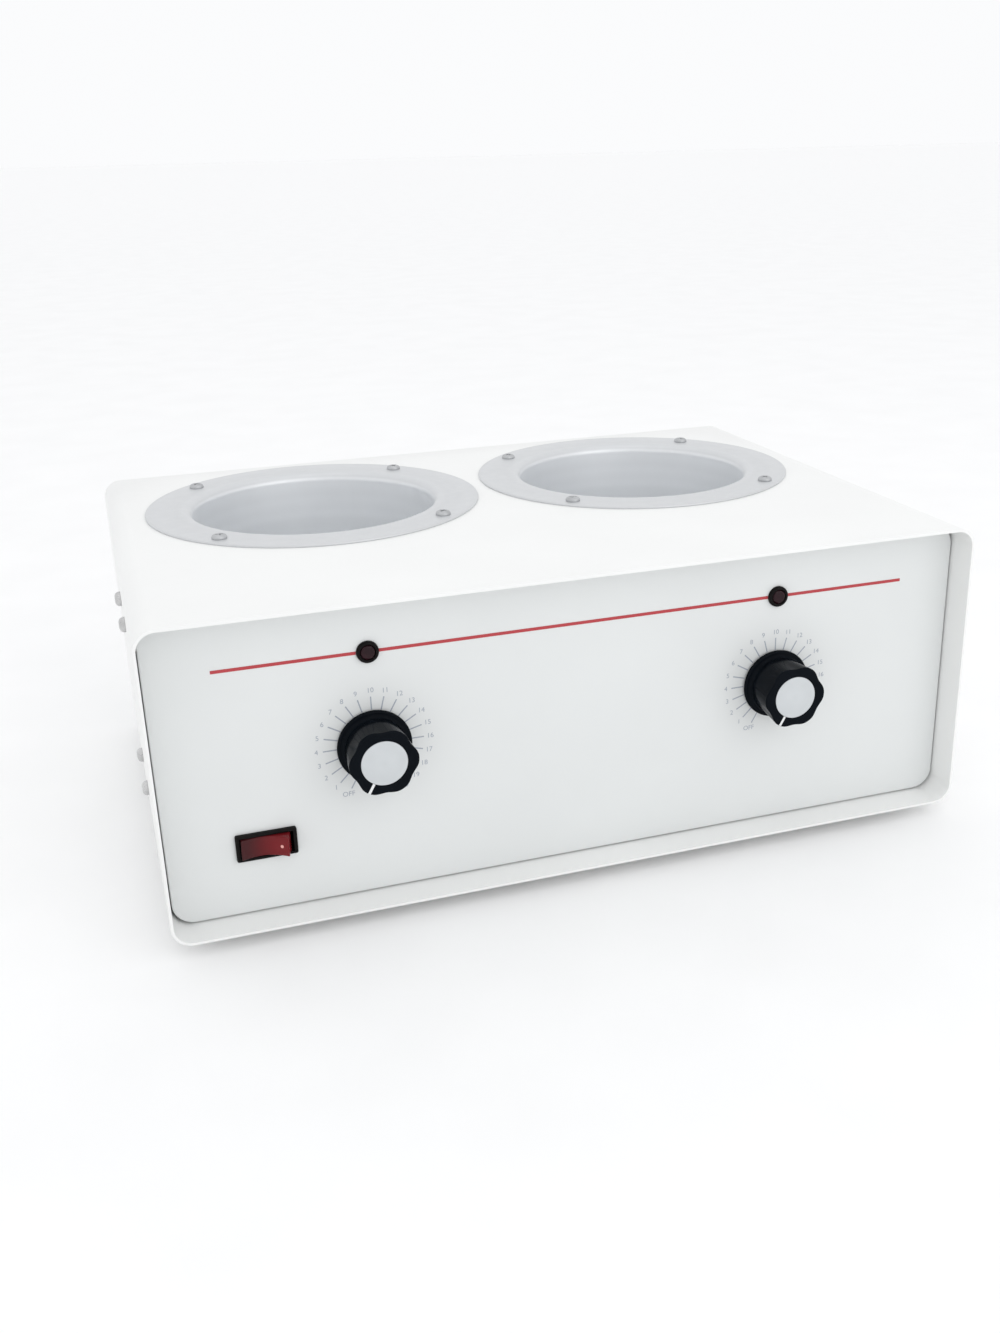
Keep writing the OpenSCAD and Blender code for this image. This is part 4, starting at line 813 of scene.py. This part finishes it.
def add_lights():
    """Two pilot lights: a rounded black bezel round a dark red lens"""
    rim, rim_front, rim_round = 4.5 * MM, 1.7 * MM, 1.1 * MM
    bore, bore_round, seat = 3.1 * MM, 0.35 * MM, -6 * MM
    barrel_r, barrel_end, pin_r, pin_end, pin_x = 3.9 * MM, -15 * MM, 0.5 * MM, -21 * MM, 1.3 * MM
    lens, lens_front, lens_round = bore - 0.1 * MM, 1.9 * MM, 1.1 * MM
    for side in ("left", "right"):
        middle = span(f"{side}_light")[2]
        stand = on_front(middle.x, middle.z)
        bezel = turned([(0, seat), (bore, seat), (bore, rim_front, bore_round), (rim, rim_front, rim_round),
                        (rim, 0), (barrel_r, 0), (barrel_r, barrel_end), (0, barrel_end)])
        pins = [move(rod(pin_r, pin_end, barrel_end + 0.1 * MM, 16), at(x)) for x in (-pin_x, pin_x)]
        make_piece(f"{side}_lamp_bezel", move(joined(bezel, *pins), stand), case_black,
                   stands_for=[f"{side}_light"])
        dome = turned([(0, seat), (lens, seat), (lens, lens_front, lens_round), (0, lens_front)])
        make_piece(f"{side}_lamp_lens", move(dome, stand), lens_red,
                   stands_for=[f"{side}_light_lens"])


def rocker_shape():
    """A rocker whose face dips in the middle and whose ends lean in towards their tips"""
    end_x, tip_x, height = 9.9 * MM, 9.2 * MM, 8.4 * MM
    dip, end_z, pivot_in, foot_z = 2 * MM, 5.2 * MM, 1.5 * MM, 2 * MM
    cuts, edge = 15, 0.45 * MM
    shape = block(2 * end_x, height, -foot_z, pivot_in + end_z)
    long_edges = [e for e in shape.edges if abs(e.verts[0].co.x - e.verts[1].co.x) > end_x]
    bmesh.ops.subdivide_edges(shape, edges=long_edges, cuts=cuts, use_grid_fill=True)
    for vert in shape.verts:
        out = abs(vert.co.x) / end_x
        if vert.co.z > 0:
            vert.co.z = pivot_in + dip + (end_z - dip) * out ** 1.7
            vert.co.x *= tip_x / end_x
        elif out > 0.5:
            vert.co.z += 2 * foot_z * (out - 0.5)
    bmesh.ops.recalc_face_normals(shape, faces=shape.faces)
    return round_edges(shape, edge, segments=4)


def add_switch():
    """The rocker switch: a black frame, its housing, and a rocker tipped to the left"""
    frame_w, frame_h, frame_t, frame_corner, frame_edge = 24.2 * MM, 11.5 * MM, 1.8 * MM, 0.9 * MM, 0.5 * MM
    body_w, body_h, body_end = 22.7 * MM, 10.4 * MM, -17 * MM
    room_w, room_h, room_end = 21.2 * MM, 9 * MM, -9 * MM
    pivot_z, tipped, pin_r, pin_end = -1.5 * MM, math.radians(-10), 1.2 * MM, 5.05 * MM
    dot_r, dot_t, dot_x, dot_z, dot_lean = 0.65 * MM, 0.12 * MM, 6.5 * MM, 5.27 * MM, math.radians(-23)
    stand = on_front(switch.x, switch.z)
    rim = cut(slab(frame_w, frame_h, 0, frame_t, frame_corner, frame_edge),
              block(room_w, room_h, -1 * MM, 3 * MM))
    box = cut(block(body_w, body_h, body_end, 0), block(room_w, room_h, room_end, 1 * MM))
    make_piece("switch_frame", move(joined(rim, box), stand), case_black,
               stands_for=["switch_housing"], crease=30)
    pivot = at(0, 0, pivot_z) @ Matrix.Rotation(tipped, 4, "Y")
    pins = move(rod(pin_r, -pin_end, pin_end, 32), Matrix.Rotation(math.pi / 2, 4, "X"))
    make_piece("rocker", move(joined(rocker_shape(), pins), stand @ pivot), rocker_red,
               "power_rocker", ["switch_rocker"], crease=35)
    # A small pale pink dot near the rocker's raised end
    spot = at(dot_x, 0, dot_z) @ Matrix.Rotation(dot_lean, 4, "Y")
    make_piece("rocker_dot", move(rod(dot_r, 0, dot_t, 24), stand @ pivot @ spot), dot_pink,
               "power_rocker")


# Inlet and feet

def mouth_shape(low, high):
    """The inlet's mouth, with its two upper corners cut off"""
    mouth_w, mouth_h, corner = 24.5 * MM, 16.8 * MM, 4.5 * MM
    mouth = bmesh.new()
    bmesh.ops.create_grid(mouth, x_segments=1, y_segments=1, size=0.5)
    bmesh.ops.scale(mouth, vec=(mouth_w, mouth_h, 1), verts=mouth.verts)
    upper = [v for v in mouth.verts if v.co.y > 0]
    bmesh.ops.bevel(mouth, geom=upper, offset=corner, offset_type="OFFSET", segments=1, profile=0.5,
                    affect="VERTICES", material=-1)
    return thicken(mouth, low, high)


def add_inlet():
    """The power inlet: a flange, a mouth with two cut corners, and three pins"""
    flange_w, flange_h, flange_corner, flange_edge = 50 * MM, 22.6 * MM, 5 * MM, 0.8 * MM
    body_w, body_h, body_back = 27.5 * MM, 19.8 * MM, 2.5 * MM
    pin_w, pin_h, pin_edge, pin_front, pin_back = 2 * MM, 4 * MM, 0.5 * MM, 15.5 * MM, 10.5 * MM
    pin_x, side_pin_y, top_pin_y = 7 * MM, -2.2 * MM, 2.4 * MM
    stand = on_rear(inlet.x, inlet.z)
    mouth_low = inlet_flange_t - 17 * MM
    mouth_high = inlet_flange_t + MM
    flange = slab(flange_w, flange_h, 0, inlet_flange_t, flange_corner, flange_edge)
    body = block(body_w, body_h, mouth_low - body_back, 0.01 * MM)
    halves = [cut(half, mouth_shape(mouth_low, mouth_high)) for half in (flange, body)]
    make_piece("inlet", move(joined(*halves), stand), case_black,
               stands_for=["power_inlet"], crease=30)
    pins = []
    for x, y in ((-pin_x, side_pin_y), (pin_x, side_pin_y), (0, top_pin_y)):
        pin = block(pin_w, pin_h, mouth_low - pin_back, mouth_low + pin_front, pin_edge)
        pins.append(move(pin, at(x, y)))
    make_piece("inlet_contacts", move(joined(*pins), stand), brass,
               stands_for=["inlet_pins"])


def add_feet():
    """Four rubber feet, each with a recess for its screw"""
    bore_r, recess_r, sole_r, top = 2.15 * MM, 4.2 * MM, 8 * MM, case_low.z
    recess_round, sole_round, top_round = 0.4 * MM, 1 * MM, 0.3 * MM
    feet = []
    for x, y in foot_spots:
        foot = turned([(bore_r, foot_seat), (recess_r, foot_seat), (recess_r, 0, recess_round),
                       (sole_r, 0, sole_round), (foot_r, top, top_round), (bore_r, top)], 64)
        feet.append(move(foot, at(x, y)))
    make_piece("rubber_feet", joined(*feet), rubber_black, stands_for=["feet"])


# Finishes of the CAD nodes that stay

node_finishes = {
    zinc: ["left_chassis_plate", "right_chassis_plate", "front_panel_nuts", "band_screws", "left_control",
           "right_control", "control_nuts", "heat_sink", "board_standoffs", "board_screws"],
    stripe_red: ["red_stripe"],
    mica_steel: ["left_heater_band", "right_heater_band"],
    glass_wrap: ["left_insulation", "right_insulation"],
    brown_phenolic: ["left_cutout", "right_cutout"],
    case_black: ["left_sensor", "right_sensor", "light_nuts"],
    turned_steel: ["left_shaft", "right_shaft"],
    dark_steel: ["left_knob_screw", "right_knob_screw"],
    brass: ["switch_blades", "earth_stud"],
    board_green: ["control_board"],
    coil_tape: ["board_transformer"],
    blue_case: ["board_relays", "board_capacitors"],
    block_green: ["terminal_block"],
    brown_lead: ["mains_leads"],
    glass_sleeve: ["heater_leads"],
    red_lead: ["signal_leads"],
}
for material, names in node_finishes.items():
    for name in names:
        mesh = nodes[name].data
        mesh.materials.clear()
        mesh.materials.append(material)

add_sleeve()
add_panels()
add_pots()
add_dials()
add_lights()
add_switch()
add_inlet()
add_feet()
add_all_screws()
add_camera()
add_studio()
